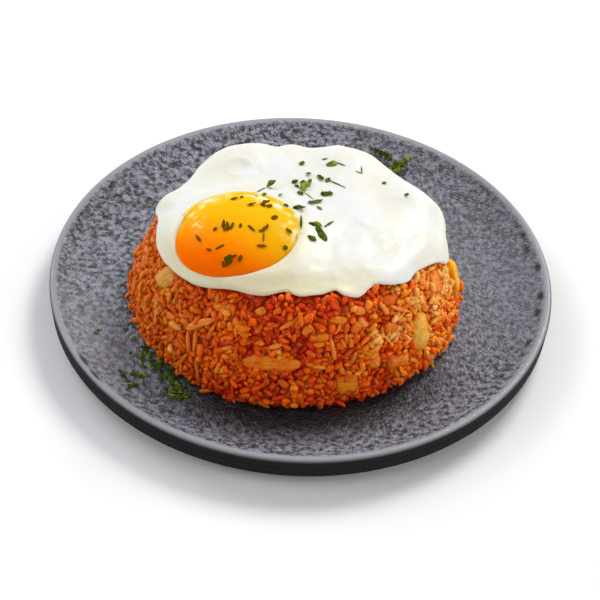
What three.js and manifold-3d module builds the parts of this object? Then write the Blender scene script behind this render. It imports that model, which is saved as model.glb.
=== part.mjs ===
// Kimchi fried rice turned out of a bowl under a fried egg, on a round stoneware plate.
// Millimetres, +Z up. The origin is on the table, under the middle of the plate.

import * as THREE from 'three';
import { mergeVertices } from 'three/addons/utils/BufferGeometryUtils.js';
import Module from 'manifold-3d';

const GAP = 0.3; // left between two pieces that touch

// ---- Driving dimensions -------------------------------------------------------------------------

const PLATE = {
  radius: 100,
  height: 14.5,
  floor: 6.5, // top of the flat middle
  flat: 70, // radius of the flat middle
  slopeEnd: 85.6, // radius at which the floor starts to curve up to the lip
  slopeRise: 2, // rise of the floor from the flat middle to there
  lipWidth: 4.2, // of the smooth band inside the plate's edge
  lipDrop: 1.2, // fall of that band, from its crest inward
  wall: 6.4, // height of the upright outer side
  footOuter: 71,
  footInner: 60,
  footRecess: 2, // depth of the hollow inside the foot ring
  underside: 3.2, // height of the underside where it leaves the foot ring
  segments: 60,
};

// The mound's side outline runs from the middle of its top to the plate in arcs of
// [radius, degrees turned], each starting in the direction in which the last one ended.
const MOUND = {
  centre: [-2.2, -6.1],
  top: 48.5,
  arcs: [
    [334, 7.8],
    [12, 54.9],
    [209, 8],
    [6, 54.3],
  ],
  lean: [0.014, -0.03], // rise of the top for each millimetre along X and Y
  flatter: { back: 0.07, front: 0.045 }, // shares by which the back and the front are drawn in
  dent: 1.7, // depth of the hollows between its lumps
  rings: [15, 30, 40, 45.5, 49.5, 53.5, 57, 62, 68, 74, 80, 86, 89],
  segments: 55,
};

// The white's outline, going round from +X: [degrees, distance from the middle along the mound,
// extra height of the edge].
const WHITE = {
  outline: [
    [4, 61.4, 0.5], [13, 59.5, 2.3], [19, 54, 2.2], [28, 53.3, 0.9], [36, 51, 0], [47, 52.5, 0],
    [58, 51.6, 2.3], [67, 51.7, 2.8], [74, 51.5, 2.5], [79, 51, 0.9], [87, 48.2, 0], [96, 50.7, 0.9],
    [104, 49.2, 0.9], [111, 51.5, 1.9], [119, 50.5, 3.8], [126, 52.3, 4.3], [135, 51.4, 2.9],
    [143, 51.4, 0.9], [154, 50.8, 0], [162, 53, 0], [168, 58.5, 0.8], [180, 54.2, 0], [200, 55.3, 0],
    [226, 53.3, 0], [244, 48.9, 0], [256, 47.9, 0], [266, 45.2, 0], [273, 46.6, 0], [284, 45.8, 0],
    [290, 45, 0], [293, 47.8, 0], [299, 49.5, 0], [309, 47.5, 0], [316, 50.3, 0], [324, 52.2, 0],
    [331, 51.8, 0], [343, 56, 0], [354, 64.2, 0],
  ],
  thickness: 2.3,
  collar: 3.2, // extra thickness against the yolk
  collarReach: 9, // distance over which the collar thins out
  rings: [0.25, 0.48, 0.68, 0.84, 0.94, 0.985], // shares of the way out to the edge
  segments: 75,
};

const YOLK = {
  centre: [-22.2, -17.1], // along the mound from the middle of its top
  radius: 22.8,
  base: 1.7, // height of its underside above the mound
  height: 8.6, // of its dome, above that
  rings: [0.32, 0.6, 0.82, 0.95],
  segments: 32,
};

// Vegetables at the surface of the rice. at: [distance down the mound from the middle of its top,
// degrees round]; size: length, width and thickness; turn: degrees from level; proud: how far the
// outer face stands out of the rice.
const CHUNKS = {
  kimchi_front: { at: [73, 262.7], size: [24.5, 6.3, 5], turn: 5, proud: 0.9, colour: 0xc8701c },
  kimchi_left: { at: [55.8, 240.4], size: [10.5, 3.8, 4], turn: 16, proud: 0.7, colour: 0xb9681b },
  kimchi_low_left: { at: [80, 250.6], size: [10, 3.4, 4], turn: 0, proud: 0.7, colour: 0xb8581a },
  kimchi_right: { at: [75, 301.7], size: [7.6, 6, 5], turn: 80, proud: 0.9, colour: 0xd07f24 },
  kimchi_right_low: { at: [79.6, 311], size: [11.5, 6.6, 5], turn: -17, proud: 0.9, colour: 0xc97c22 },
  kimchi_low_right: { at: [82.3, 290.4], size: [10, 6.6, 4], turn: 0, proud: 0.8, colour: 0xd08a35 },
  kimchi_upper_right: { at: [54.8, 313], size: [7.6, 4.2, 4], turn: -30, proud: 0.8, colour: 0xe06c16 },
  kimchi_edge: { at: [72, 354.8], size: [14.5, 6.8, 5], turn: 72, proud: 1.7, colour: 0xe89c18 },
  cabbage_right: { at: [73.8, 324], size: [15.5, 9.6, 5], turn: 76, proud: 1.1, colour: 0xcfa050 },
  cabbage_upper_left: { at: [61.9, 205.2], size: [9.6, 8.4, 4], turn: 60, proud: 1, colour: 0xc99a5a },
  onion_left: { at: [66.3, 232.5], size: [15, 2.8, 3], turn: 41, proud: 1.1, colour: 0xe39a5c },
  onion_upper_right: { at: [63.2, 342], size: [10.5, 6, 3], turn: 80, proud: 1, colour: 0xd97a45 },
};

// Leaves on the plate behind the mound. out: distance from the plate's middle; bearing: degrees
// round it; height: of the leaf's middle; slope: degrees by which the plate tips it inward.
const LEAVES = {
  parsley_leaf_back: { out: 86.5, bearing: 69.3, height: 9.8, slope: 16, radius: 3.6, lobes: 5, turn: 20 },
  parsley_leaf_front: { out: 84.3, bearing: 61.7, height: 9.4, slope: 14, radius: 5.2, lobes: 5, turn: 70 },
};
const LEAF = { thickness: 0.9, lobeDepth: 0.3, ruffle: 0.7, segments: 25 };

const COLOURS = { stoneware: 0x55565c, rice: 0xc9561a, white: 0xf1efe4, yolk: 0xf59a12, leaf: 0x4f6a1f };

// ---- Closed bodies ------------------------------------------------------------------------------

const wasm = await Module();
wasm.setup();

/** Close a stack of equal rings with a fan to the point before the first and after the last. */
function skin(start, rings, end) {
  const around = rings[0].length;
  const corners = [start, ...rings.flat(), end];
  const corner = (ring, j) => 1 + ring * around + (j % around);
  const last = corners.length - 1;
  const faces = [];
  for (let j = 0; j < around; j += 1) {
    faces.push(0, corner(0, j), corner(0, j + 1));
    faces.push(last, corner(rings.length - 1, j + 1), corner(rings.length - 1, j));
  }
  for (let i = 0; i + 1 < rings.length; i += 1) {
    for (let j = 0; j < around; j += 1) {
      faces.push(corner(i, j), corner(i + 1, j), corner(i + 1, j + 1));
      faces.push(corner(i, j), corner(i + 1, j + 1), corner(i, j + 1));
    }
  }
  const geometry = new THREE.BufferGeometry().setFromPoints(corners);
  geometry.setIndex(faces);
  return geometry;
}

/** The points of one ring: place(angle in radians) for equal steps all the way round. */
function ring(segments, place) {
  return Array.from({ length: segments }, (_, j) => place((2 * Math.PI * j) / segments));
}

function solidOf(geometry) {
  const merged = mergeVertices(geometry);
  return new wasm.Manifold(new wasm.Mesh({
    numProp: 3,
    vertProperties: new Float32Array(merged.attributes.position.array),
    triVerts: new Uint32Array(merged.index.array),
  }));
}

function geometryOf(solid) {
  const cut = solid.getMesh();
  const geometry = new THREE.BufferGeometry();
  geometry.setAttribute('position', new THREE.BufferAttribute(cut.vertProperties, 3));
  geometry.setIndex(new THREE.BufferAttribute(cut.triVerts, 1));
  return geometry;
}

/** Cut every one of the tools out of the body. */
function cut(body, tools) {
  return geometryOf(tools.reduce((rest, tool) => rest.subtract(solidOf(tool)), solidOf(body)));
}

function piece(name, geometry, colour, roughness) {
  geometry.computeVertexNormals();
  const material = new THREE.MeshStandardMaterial({ color: colour, roughness, metalness: 0 });
  const mesh = new THREE.Mesh(geometry, material);
  mesh.name = name;
  return mesh;
}

// ---- The plate ----------------------------------------------------------------------------------

/** A lathe outline from the middle of the underside, round the edge, to the middle of the top. */
function plateGeometry() {
  const p = PLATE;
  const crest = p.radius - 1.5;
  const lipFoot = p.radius - p.lipWidth;
  const wallBase = p.height - 1.8 - p.wall;
  const side = new THREE.Path();
  side.moveTo(0, p.footRecess);
  side.lineTo(p.footInner - 1, p.footRecess);
  side.lineTo(p.footInner + 0.5, 0);
  side.lineTo(p.footOuter - 1.5, 0);
  side.lineTo(p.footOuter, p.underside);
  side.lineTo(p.radius - 7, p.underside + 0.8);
  side.quadraticCurveTo(p.radius - 0.6, p.underside + 1.2, p.radius - 0.3, wallBase);
  side.lineTo(p.radius, p.height - 1.8);
  side.quadraticCurveTo(p.radius, p.height, crest, p.height);
  side.quadraticCurveTo(lipFoot + 1.6, p.height, lipFoot, p.height - p.lipDrop);
  side.quadraticCurveTo(lipFoot - 3.3, p.floor + 4.4, p.slopeEnd, p.floor + p.slopeRise);
  side.quadraticCurveTo(p.flat + 6, p.floor + 0.1, p.flat, p.floor);
  side.lineTo(0, p.floor);
  const geometry = new THREE.LatheGeometry(side.getPoints(3), p.segments);
  geometry.rotateX(Math.PI / 2);
  return geometry;
}

// ---- The mound's surface, which everything on it follows ----------------------------------------

/** Radius, height and slope angle of the side outline, a distance down it from the top. */
function outlineAt(distance) {
  let left = distance;
  let angle = 0;
  let radius = 0;
  let height = MOUND.top;
  for (const [bend, degrees] of MOUND.arcs) {
    const turn = Math.min(left / bend, THREE.MathUtils.degToRad(degrees));
    radius += bend * (Math.sin(angle + turn) - Math.sin(angle));
    height -= bend * (Math.cos(angle) - Math.cos(angle + turn));
    angle += turn;
    left -= bend * turn;
  }
  return { radius, height, angle };
}

const MOUND_LENGTH = MOUND.arcs.reduce((sum, [bend, turn]) => sum + bend * THREE.MathUtils.degToRad(turn), 0);

/** A point over the mound: a distance down from its top, an angle round it, a height off it. */
function overMound(distance, around, lift = 0) {
  const { radius, height, angle } = outlineAt(distance);
  const out = radius + lift * Math.sin(angle);
  const up = height + lift * Math.cos(angle);
  const flatter = Math.sin(around) > 0 ? MOUND.flatter.back : MOUND.flatter.front;
  const drawn = out * (1 - flatter * Math.sin(around) ** 2);
  const x = drawn * Math.cos(around);
  const y = drawn * Math.sin(around);
  const share = (up - PLATE.floor) / (MOUND.top - PLATE.floor);
  return new THREE.Vector3(x, y, up + share * (MOUND.lean[0] * x + MOUND.lean[1] * y));
}

/** The same from the distances u and v along the mound, away from the middle of its top. */
function overTop(u, v, lift) {
  return overMound(Math.hypot(u, v), Math.atan2(v, u), lift);
}

/** Hollows between the lumps of rice, on the sides only: the top is pressed smooth. */
function dentAt(distance, around) {
  const wide = 1 + Math.sin(7 * around + 0.11 * distance) * Math.sin(0.3 * distance + 1.3);
  const fine = 1 + Math.sin(12 * around - 0.17 * distance) * Math.cos(0.5 * distance);
  const side = THREE.MathUtils.smoothstep(distance, 48, 62);
  return -MOUND.dent * side * (0.3 * wide + 0.2 * fine);
}

function moundGeometry(grown = 0) {
  const rings = MOUND.rings.map((distance) => ring(MOUND.segments, (around) => (
    overMound(distance, around, dentAt(distance, around) + grown))));
  rings.push(ring(MOUND.segments, (around) => overMound(MOUND_LENGTH, around, grown)));
  const base = rings.at(-1)[0].z;
  rings.at(-1).forEach((point) => point.setZ(base));
  return skin(overMound(0, 0, grown), rings, new THREE.Vector3(0, 0, base));
}

// ---- The fried egg ------------------------------------------------------------------------------

/** Points round the edge of the white: u and v along the mound, and the extra height there. */
function whiteEdge() {
  const corners = WHITE.outline.map(([degrees, reach, rise]) => {
    const around = THREE.MathUtils.degToRad(degrees);
    return new THREE.Vector3(reach * Math.cos(around), reach * Math.sin(around), rise);
  });
  return new THREE.CatmullRomCurve3(corners, true).getPoints(WHITE.segments).slice(0, -1);
}

/** Thickness of the white at (u, v): a thin sheet with a collar against the yolk. */
function whiteThickness(u, v) {
  const away = Math.hypot(u - YOLK.centre[0], v - YOLK.centre[1]) - YOLK.radius;
  return WHITE.thickness + WHITE.collar * Math.exp(-((Math.max(0, away) / WHITE.collarReach) ** 2));
}

/** The white before it is cut to fit: its underside reaches into the rice, its edge is round. */
function whiteBlank() {
  const edge = whiteEdge();
  const level = (share, height) => edge.map(({ x, y, z }) => (
    overTop(share * x, share * y, height(share * x, share * y, z))));
  const rounding = (share) => Math.sqrt(1 - share ** 10);
  const risen = (share) => THREE.MathUtils.smoothstep(share, 0.55, 0.95);
  const top = WHITE.rings.map((share) => level(share, (u, v, rise) => (
    GAP + 0.5 + (whiteThickness(u, v) - 0.5) * rounding(share) + rise * risen(share))));
  const rim = level(1, (u, v, rise) => 0.5 * WHITE.thickness + 0.7 * rise);
  const under = level(0.975, () => GAP);
  const inside = [...WHITE.rings].reverse().slice(2).map((share) => level(share, () => -1));
  return skin(overTop(0, 0, WHITE.thickness), [...top, rim, under, ...inside], overTop(0, 0, -1));
}

function yolkGeometry(grown = 0) {
  const level = (share, lift) => ring(YOLK.segments, (around) => overTop(
    YOLK.centre[0] + share * (YOLK.radius + grown) * Math.cos(around),
    YOLK.centre[1] + share * (YOLK.radius + grown) * Math.sin(around),
    lift,
  ));
  const base = YOLK.base - grown;
  const middle = YOLK.base + 0.18 * YOLK.height;
  const dome = YOLK.rings.map((share) => (
    level(share, middle + (0.82 * YOLK.height + grown) * (1 - share ** 2.3) ** 0.6)));
  const belly = level(1, middle);
  const under = [level(0.93, base + 0.3), level(0.6, base)];
  const crown = overTop(...YOLK.centre, YOLK.base + YOLK.height + grown);
  return skin(crown, [...dome, belly, ...under], overTop(...YOLK.centre, base));
}

// ---- Vegetables in the rice, and leaves on the plate --------------------------------------------

/** A blunt-ended slab that follows the mound, its corners rounded off by a power curve. */
function chunkGeometry({ at, size, turn, proud }, grown = 0) {
  const [distance, degrees] = at;
  const [half, wide, thick] = size.map((full) => full / 2 + grown);
  const bearing = THREE.MathUtils.degToRad(degrees);
  const tip = THREE.MathUtils.degToRad(turn);
  const round = outlineAt(distance).radius;
  const depth = proud - size[2] / 2;
  const blunt = (value) => Math.sign(value) * Math.abs(value) ** 0.55;
  const place = (along, across, out) => overMound(
    distance - along * Math.sin(tip) - across * Math.cos(tip),
    bearing + (along * Math.cos(tip) - across * Math.sin(tip)) / round,
    depth + out,
  );
  const stations = [-0.94, -0.5, 0, 0.5, 0.94];
  const rings = stations.map((share) => {
    const girth = (1 - Math.abs(share) ** 5) ** 0.45 * (1 - 0.12 * Math.sin(3 * share + degrees));
    return ring(8, (angle) => place(
      half * share,
      wide * girth * blunt(Math.cos(angle)),
      -thick * girth * blunt(Math.sin(angle)),
    ));
  });
  return skin(place(-half, 0, 0), rings, place(half, 0, 0));
}

/** A cupped, ruffled leaf with round lobes, lying on the plate. */
function leafGeometry({ radius, lobes }) {
  const reach = (angle) => radius * (1 - LEAF.lobeDepth * (0.5 + 0.5 * Math.cos(lobes * angle)));
  const level = (share, rise) => ring(LEAF.segments, (angle) => {
    const out = share * reach(angle);
    const ruffle = LEAF.ruffle * share ** 2 * (1 + Math.sin(lobes * angle));
    return new THREE.Vector3(out * Math.cos(angle), out * Math.sin(angle), rise + ruffle);
  });
  const half = LEAF.thickness / 2;
  const rings = [level(0.55, half), level(0.95, half), level(0.95, -half), level(0.55, -half)];
  return skin(new THREE.Vector3(0, 0, half), rings, new THREE.Vector3(0, 0, -half));
}

// ---- The scene graph ----------------------------------------------------------------------------

const serving = new THREE.Group();
serving.position.set(...MOUND.centre, 0);

const chunks = Object.entries(CHUNKS);
const pockets = chunks.map(([, chunk]) => chunkGeometry(chunk, GAP));
serving.add(piece('rice_mound', cut(moundGeometry(), pockets), COLOURS.rice, 0.45));
serving.add(piece('egg_white', cut(whiteBlank(), [moundGeometry(GAP), yolkGeometry(GAP)]), COLOURS.white, 0.3));
serving.add(piece('egg_yolk', yolkGeometry(), COLOURS.yolk, 0.2));
chunks.forEach(([name, chunk]) => serving.add(piece(name, chunkGeometry(chunk), chunk.colour, 0.35)));

const group = new THREE.Group();
group.add(piece('plate', plateGeometry(), COLOURS.stoneware, 0.7), serving);

Object.entries(LEAVES).forEach(([name, leaf]) => {
  const mesh = piece(name, leafGeometry(leaf), COLOURS.leaf, 0.6);
  mesh.position.set(leaf.out, 0, leaf.height);
  mesh.rotation.set(0, THREE.MathUtils.degToRad(-leaf.slope), THREE.MathUtils.degToRad(leaf.turn));
  const swing = new THREE.Group();
  swing.rotation.z = THREE.MathUtils.degToRad(leaf.bearing);
  swing.add(mesh);
  group.add(swing);
});

export default group;
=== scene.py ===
"""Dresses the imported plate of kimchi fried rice: separate grains, a glossy fried egg, rough stoneware."""

import functools
import itertools
import math
import operator

import bpy
import numpy as np
from bpy.props import FloatProperty, FloatVectorProperty, IntProperty, PointerProperty
from bpy.types import Operator, Panel, PropertyGroup
from mathutils import Matrix, Vector


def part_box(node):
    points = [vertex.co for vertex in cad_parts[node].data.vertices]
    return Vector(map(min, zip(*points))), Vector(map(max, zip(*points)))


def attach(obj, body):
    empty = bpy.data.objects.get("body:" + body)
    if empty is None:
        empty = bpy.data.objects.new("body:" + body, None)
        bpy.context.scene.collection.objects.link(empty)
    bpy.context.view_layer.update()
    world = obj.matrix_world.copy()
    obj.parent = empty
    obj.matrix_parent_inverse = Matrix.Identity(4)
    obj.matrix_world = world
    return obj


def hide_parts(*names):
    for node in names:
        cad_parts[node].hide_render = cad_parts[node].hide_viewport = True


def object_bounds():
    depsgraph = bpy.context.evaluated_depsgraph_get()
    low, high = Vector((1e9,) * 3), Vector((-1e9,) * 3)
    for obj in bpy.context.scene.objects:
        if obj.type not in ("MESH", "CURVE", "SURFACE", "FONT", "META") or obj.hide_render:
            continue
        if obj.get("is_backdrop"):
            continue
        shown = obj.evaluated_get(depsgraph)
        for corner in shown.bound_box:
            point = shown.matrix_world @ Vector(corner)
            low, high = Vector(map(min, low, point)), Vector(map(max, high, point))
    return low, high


bl_info = {
    "name": "Kimchi Fried Rice",
    "version": (1, 0, 0),
    "blender": (4, 5, 0),
    "location": "View3D > Sidebar > Fried Rice",
    "description": "Builds a mound of kimchi fried rice under a fried egg, on a stoneware plate",
    "category": "Object",
}

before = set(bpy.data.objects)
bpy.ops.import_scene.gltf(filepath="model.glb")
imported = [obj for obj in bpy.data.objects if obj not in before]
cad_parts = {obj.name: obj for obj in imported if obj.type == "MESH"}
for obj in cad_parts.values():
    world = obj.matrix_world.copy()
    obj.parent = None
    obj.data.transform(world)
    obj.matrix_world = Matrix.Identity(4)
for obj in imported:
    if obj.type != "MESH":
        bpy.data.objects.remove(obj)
CAD_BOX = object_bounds()

MM = 0.001
FULL_TURN = 2 * np.pi

PLATE_RADIUS, _, PLATE_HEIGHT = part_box("plate")[1]
PLATE_FLOOR = 6.5 * MM
PLATE_RECESS = 2 * MM

# The mound's side outline, from the middle of its top to the plate: arcs of (radius, degrees turned).
MOUND_ARCS = ((334 * MM, 7.8), (12 * MM, 54.9), (209 * MM, 8), (6 * MM, 54.3))
MOUND_LENGTH = sum(bend * math.radians(turn) for bend, turn in MOUND_ARCS)
MOUND_CENTRE = np.array([-2.2, -6.1]) * MM
MOUND_TOP = 48.5 * MM
MOUND_LEAN = (0.014, -0.03)
FLATTER_BACK, FLATTER_FRONT = 0.07, 0.045

# The white's outline, going round from +X: (degrees, distance in mm from the middle of the mound's top,
# extra height of the edge in mm).
WHITE_OUTLINE = (
    (4, 61.4, 0.5), (13, 59.5, 2.3), (19, 54, 2.2), (28, 53.3, 0.9), (36, 51, 0), (47, 52.5, 0),
    (58, 51.6, 2.3), (67, 51.7, 2.8), (74, 51.5, 2.5), (79, 51, 0.9), (87, 48.2, 0), (96, 50.7, 0.9),
    (104, 49.2, 0.9), (111, 51.5, 1.9), (119, 50.5, 3.8), (126, 52.3, 4.3), (135, 51.4, 2.9),
    (143, 51.4, 0.9), (154, 50.8, 0), (162, 53, 0), (168, 58.5, 0.8), (180, 54.2, 0), (200, 55.3, 0),
    (226, 53.3, 0), (244, 48.9, 0), (256, 47.9, 0), (266, 45.2, 0), (273, 46.6, 0), (284, 45.8, 0),
    (290, 45, 0), (293, 47.8, 0), (299, 49.5, 0), (309, 47.5, 0), (316, 50.3, 0), (324, 52.2, 0),
    (331, 51.8, 0), (343, 56, 0), (354, 64.2, 0),
)

# Hollows and bubbles of the white, in mm: (u, v, radius, depth).
WHITE_DENTS = (
    (-25.5, 27, 4, 0.6), (33.5, -11.5, 2.2, 0.1), (35.5, -16.5, 2.6, 0.12), (31, -27, 4.5, 0.12),
    (12, -40, 5, 0.12), (22, -36, 6, 0.12), (44, 10, 4, 0.1), (-38, 22, 5, 0.12), (8, 33, 6, 0.12),
)

# How far inside the plain mound the face of a vegetable lies before it is raised, in mm.
FACE_DEPTH = 0.7

# Vegetables at the surface: at (distance down in mm, degrees round), size (length, width, thickness),
# turn in degrees from level, how far its face is raised in mm, its look, and the share by which chilli
# has stained it.
CHUNKS = {
    "kimchi_front": ((73, 262.7), (24.5, 6.3, 5), 5, 0.9, "kimchi", 0.0),
    "kimchi_left": ((55.8, 240.4), (10.5, 3.8, 4), 16, 0.7, "kimchi", 0.15),
    "kimchi_low_left": ((80, 250.6), (10, 3.4, 4), 0, 0.7, "kimchi", 0.7),
    "kimchi_right": ((75, 301.7), (7.6, 6, 5), 80, 0.9, "kimchi", 0.1),
    "kimchi_right_low": ((79.6, 311), (11.5, 6.6, 5), -17, 0.9, "kimchi", 0.2),
    "kimchi_low_right": ((82.3, 290.4), (10, 6.6, 4), 0, 0.8, "kimchi", 0.1),
    "kimchi_upper_right": ((54.8, 313), (7.6, 4.2, 4), -30, 0.8, "kimchi", 0.75),
    "kimchi_edge": ((72.4, 355.2), (14.5, 6.8, 5), 72, 3.0, "gold", -0.5),
    "cabbage_right": ((73.8, 324), (15.5, 9.6, 5), 76, 1.1, "cabbage", -0.2),
    "cabbage_upper_left": ((61.2, 206.6), (12.4, 9.2, 4), 62, 1.0, "leaf base", 0.3),
    "onion_left": ((66.3, 232.5), (15, 2.8, 3), 41, 1.1, "onion", 0.1),
    "onion_upper_right": ((63.2, 342), (10.5, 6, 3), 80, 1.0, "onion", 0.35),
}

# Smaller pieces of the same vegetables, in the same units, without a node of their own.
SMALL_PIECES = {
    "onion_ribbons": (
        ((75.1, 230), (8.5, 1.5, 1.6), -67, 0.9, "onion", 0.3),
        ((73.4, 232.8), (9, 1.4, 1.6), -78, 0.9, "onion", 0.35),
        ((55.5, 270.1), (12.5, 1.9, 2), 38, 0.9, "onion", 0.45),
        ((66.7, 285.7), (9.5, 1.8, 2), -81, 0.9, "onion", 0.5),
        ((57.9, 333.1), (8.5, 2.6, 2), -65, 1.0, "onion", 0.1),
        ((56.6, 309.2), (6.4, 2, 2), -65, 1.0, "onion", 0.0),
        ((86, 325.1), (6, 3.4, 2.4), -60, 1.0, "onion", 0.0),
        ((59.7, 316), (9.5, 1.6, 1.8), -38, 1.0, "onion", 0.1),
        ((73.6, 316.2), (5.5, 1.6, 1.8), 7, 1.0, "onion", 0.3),
        ((65.8, 264), (5.5, 1.6, 1.8), 19, 0.9, "onion", 0.4),
        ((58.8, 299), (5, 2.6, 2), -45, 1.1, "onion", 0.2),
        ((70.5, 246), (6.5, 1.6, 1.8), 25, 0.8, "onion", 0.5),
        ((61, 352), (8, 1.8, 2), -40, 0.9, "onion", 0.3),
        ((63, 22), (9, 1.8, 2), 20, 0.9, "onion", 0.3),
        ((66, 75), (10, 1.8, 2), -15, 0.9, "onion", 0.4),
        ((70, 150), (9, 1.8, 2), 60, 0.9, "onion", 0.4),
    ),
    "kimchi_lumps": (
        ((55.9, 288.7), (8, 3, 2.4), -9, 0.9, "kimchi", -0.1),
        ((54.6, 298.4), (4.6, 4, 2.6), -24, 1.0, "kimchi", -0.3),
        ((58.9, 276.2), (5, 3.6, 2.6), 35, 1.2, "kimchi", -0.2),
        ((62.2, 281.9), (5.2, 3.4, 2.6), 10, 1.3, "kimchi", -0.1),
        ((62, 245.2), (4, 3, 2.4), -60, 1.0, "kimchi", -0.1),
        ((53.2, 256.2), (4.6, 2.8, 2.4), 20, 1.0, "kimchi", -0.1),
        ((60.3, 295.6), (5, 3.6, 2.6), 50, 1.2, "kimchi", -0.1),
        ((83.3, 0.3), (4.6, 4, 2.6), 60, 2.6, "kimchi", -0.3),
        ((65, 310.4), (6.2, 4.2, 2.6), -23, 0.9, "kimchi", 0.3),
        ((71, 219), (6, 3, 2.4), 10, 0.8, "kimchi", 0.5),
        ((80, 268), (5, 2.8, 2.4), -30, 0.8, "kimchi", 0.6),
        ((67, 8), (7, 4, 2.6), 20, 0.9, "kimchi", 0.2),
        ((76, 38), (10, 5, 2.6), 10, 0.9, "kimchi", 0.3),
        ((64, 55), (7, 4, 2.6), -30, 0.9, "kimchi", 0.5),
        ((80, 95), (12, 5, 2.6), 5, 0.9, "kimchi", 0.3),
        ((66, 120), (8, 4, 2.6), 40, 0.9, "kimchi", 0.2),
        ((78, 160), (11, 5.4, 2.6), -12, 0.9, "kimchi", 0.4),
        ((70, 188), (7, 4, 2.6), 70, 0.9, "kimchi", 0.3),
    ),
}

# Deep hollows in the rice, also painted darker as shade: (distance down in mm, degrees round, radius and
# depth in mm).
RICE_HOLLOWS = (
    (61, 307, 2.8, 3.2), (86, 353, 2.8, 3.6), (86.5, 357.5, 2.8, 3.8), (86, 2, 2.6, 3.4),
    (54, 325.5, 3, 1.5), (58.6, 270.7, 1.6, 1.6), (62.7, 275.1, 2, 1.8), (63.2, 255.2, 2, 1.5),
    (79.8, 264.1, 2.6, 1.6), (80.4, 269.6, 1.8, 1.5),
    (71.9, 274.2, 2.2, 2), (69.1, 281.8, 1.8, 1.6), (68.7, 253.8, 1.8, 1.5), (69.3, 216.3, 1.8, 1.6),
    (62.5, 234.6, 2, 1.7), (57.7, 232.3, 2, 1.4), (77.4, 219.2, 2, 1.5), (73, 203.5, 1.8, 1.3),
    (69.6, 328.9, 2, 1.8), (60.8, 293.6, 1.8, 1.7), (57.2, 302.1, 2.2, 1.4), (68, 291, 1.8, 1.8),
    (72.5, 305.9, 2.2, 1.6), (76.3, 298.2, 1.8, 1.8), (83.2, 304, 2, 1.4), (78, 285.5, 2.4, 1.6),
    (71.7, 313.2, 1.8, 1.4),
    (65, 22, 2, 1.8), (75, 62, 2.4, 2), (68, 105, 2.2, 1.8), (78, 132, 2.4, 2), (72, 170, 2, 1.8),
)


# ---- Settings a user would change ---------------------------------------------------------------


def length(name, description, default, top=0.3):
    """A length in metres."""
    return FloatProperty(
        name=name, description=description, default=default, min=0.0, max=top,
        unit="LENGTH", subtype="DISTANCE", precision=5,
    )


def colour(name, description, default):
    """A linear colour."""
    return FloatVectorProperty(
        name=name, description=description, default=default, size=3, min=0.0, max=1.0, subtype="COLOR",
    )


def whole_number(name, description, default):
    """A whole number from 0 up."""
    return IntProperty(name=name, description=description, default=default, min=0)


def angle_of(name, description, degrees):
    """An angle, its default given in degrees."""
    return FloatProperty(
        name=name, description=description, default=math.radians(degrees), subtype="ANGLE", unit="ROTATION",
    )


class PlateSettings(PropertyGroup):
    relief: length("Relief", "Depth of the hammered surface", 0.4 * MM)
    relief_size: length("Relief size", "Spacing of the hammer marks", 2.1 * MM)
    pale: colour("Pale glaze", "High spots of the stoneware", (0.275, 0.292, 0.358))
    dark: colour("Dark glaze", "Hollows of the stoneware", (0.009, 0.0085, 0.0105))
    # The lip's paler colour below is a painted highlight; the lip is also smoother. The same colour paints
    # a patch of light on the slope.
    lip: colour("Lip", "The worn, smoother lip", (0.26, 0.265, 0.29))
    # The colour below is painted shadow in front of the rice, and also the colour of the glaze's dark
    # smudges.
    grease: colour("Grease", "Glaze darkened by oil in front of the rice", (0.008, 0.005, 0.0045))
    clay: colour("Outer side", "The nearly black outer side", (0.0025, 0.0025, 0.0025))


class RiceSettings(PropertyGroup):
    grain_length: length("Grain length", "Mean length of a grain", 4.4 * MM)
    grain_width: length("Grain width", "Mean width of a grain", 2.25 * MM)
    tries: whole_number("Tries", "Places tried for the grains of one layer", 30000)
    shreds: whole_number("Shreds", "Thin strips of kimchi among the grains", 60)
    bits: whole_number("Bits", "Small chopped pieces among the grains", 170)
    seed: whole_number("Seed", "Picks another arrangement of the grains", 7)
    # These grain colours run from painted shade to painted light, as well as through the rice's own range
    # of colour.
    red: colour("Red grains", "Rice soaked in chilli paste", (0.78, 0.041, 0.001))
    orange: colour("Orange grains", "Rice coloured by the oil", (0.95, 0.165, 0.001))
    pale: colour("Pale grains", "Rice that took less colour", (0.98, 0.365, 0.02))
    palest: colour("Palest grains", "Rice that stayed nearly plain", (1.0, 0.56, 0.17))
    sauce: colour("Sauce", "Dark sauce between the grains", (0.36, 0.007, 0.0004))
    # A browner colour, given to the rice towards the left of the mound.
    left_brown_colour: colour("Toasted", "Rice browned at the left of the mound", (0.54, 0.15, 0.001))


class EggSettings(PropertyGroup):
    thickness: length("White thickness", "The thin part of the white", 2.3 * MM)
    collar: length("Collar", "Extra thickness against the yolk", 3.2 * MM)
    collar_reach: length("Collar reach", "Distance over which the collar thins out", 9 * MM)
    yolk_radius: length("Yolk radius", "Half the yolk's width", 22.8 * MM)
    yolk_height: length("Yolk height", "Height of the yolk's dome", 8.6 * MM)
    white: colour("White", "Set egg white", (0.71, 0.72, 0.715))
    # This colour is the white's own creamy tone where it is thin and near the yolk, and also painted shade
    # along its front.
    cream: colour("Thin white", "Egg white where it is thin or near the yolk", (0.7, 0.635, 0.4))
    # The yolk's colours are painted light and shade: deep orange at its shaded front, yellow at its lit
    # back.
    yolk_shaded_front: colour("Deep yolk", "The yolk at its front", (1.0, 0.145, 0.0))
    yolk_middle: colour("Yolk", "The yolk's middle", (0.8, 0.385, 0.004))
    yolk_lit_back: colour("Yellow yolk", "The yolk's back", (0.76, 0.43, 0.008))
    # This colour paints the white's layer over the yolk's far rim, and also small painted highlights at the
    # yolk's left.
    film: colour("Film", "The film of white over the yolk's far rim", (0.8, 0.6, 0.17))


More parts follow.
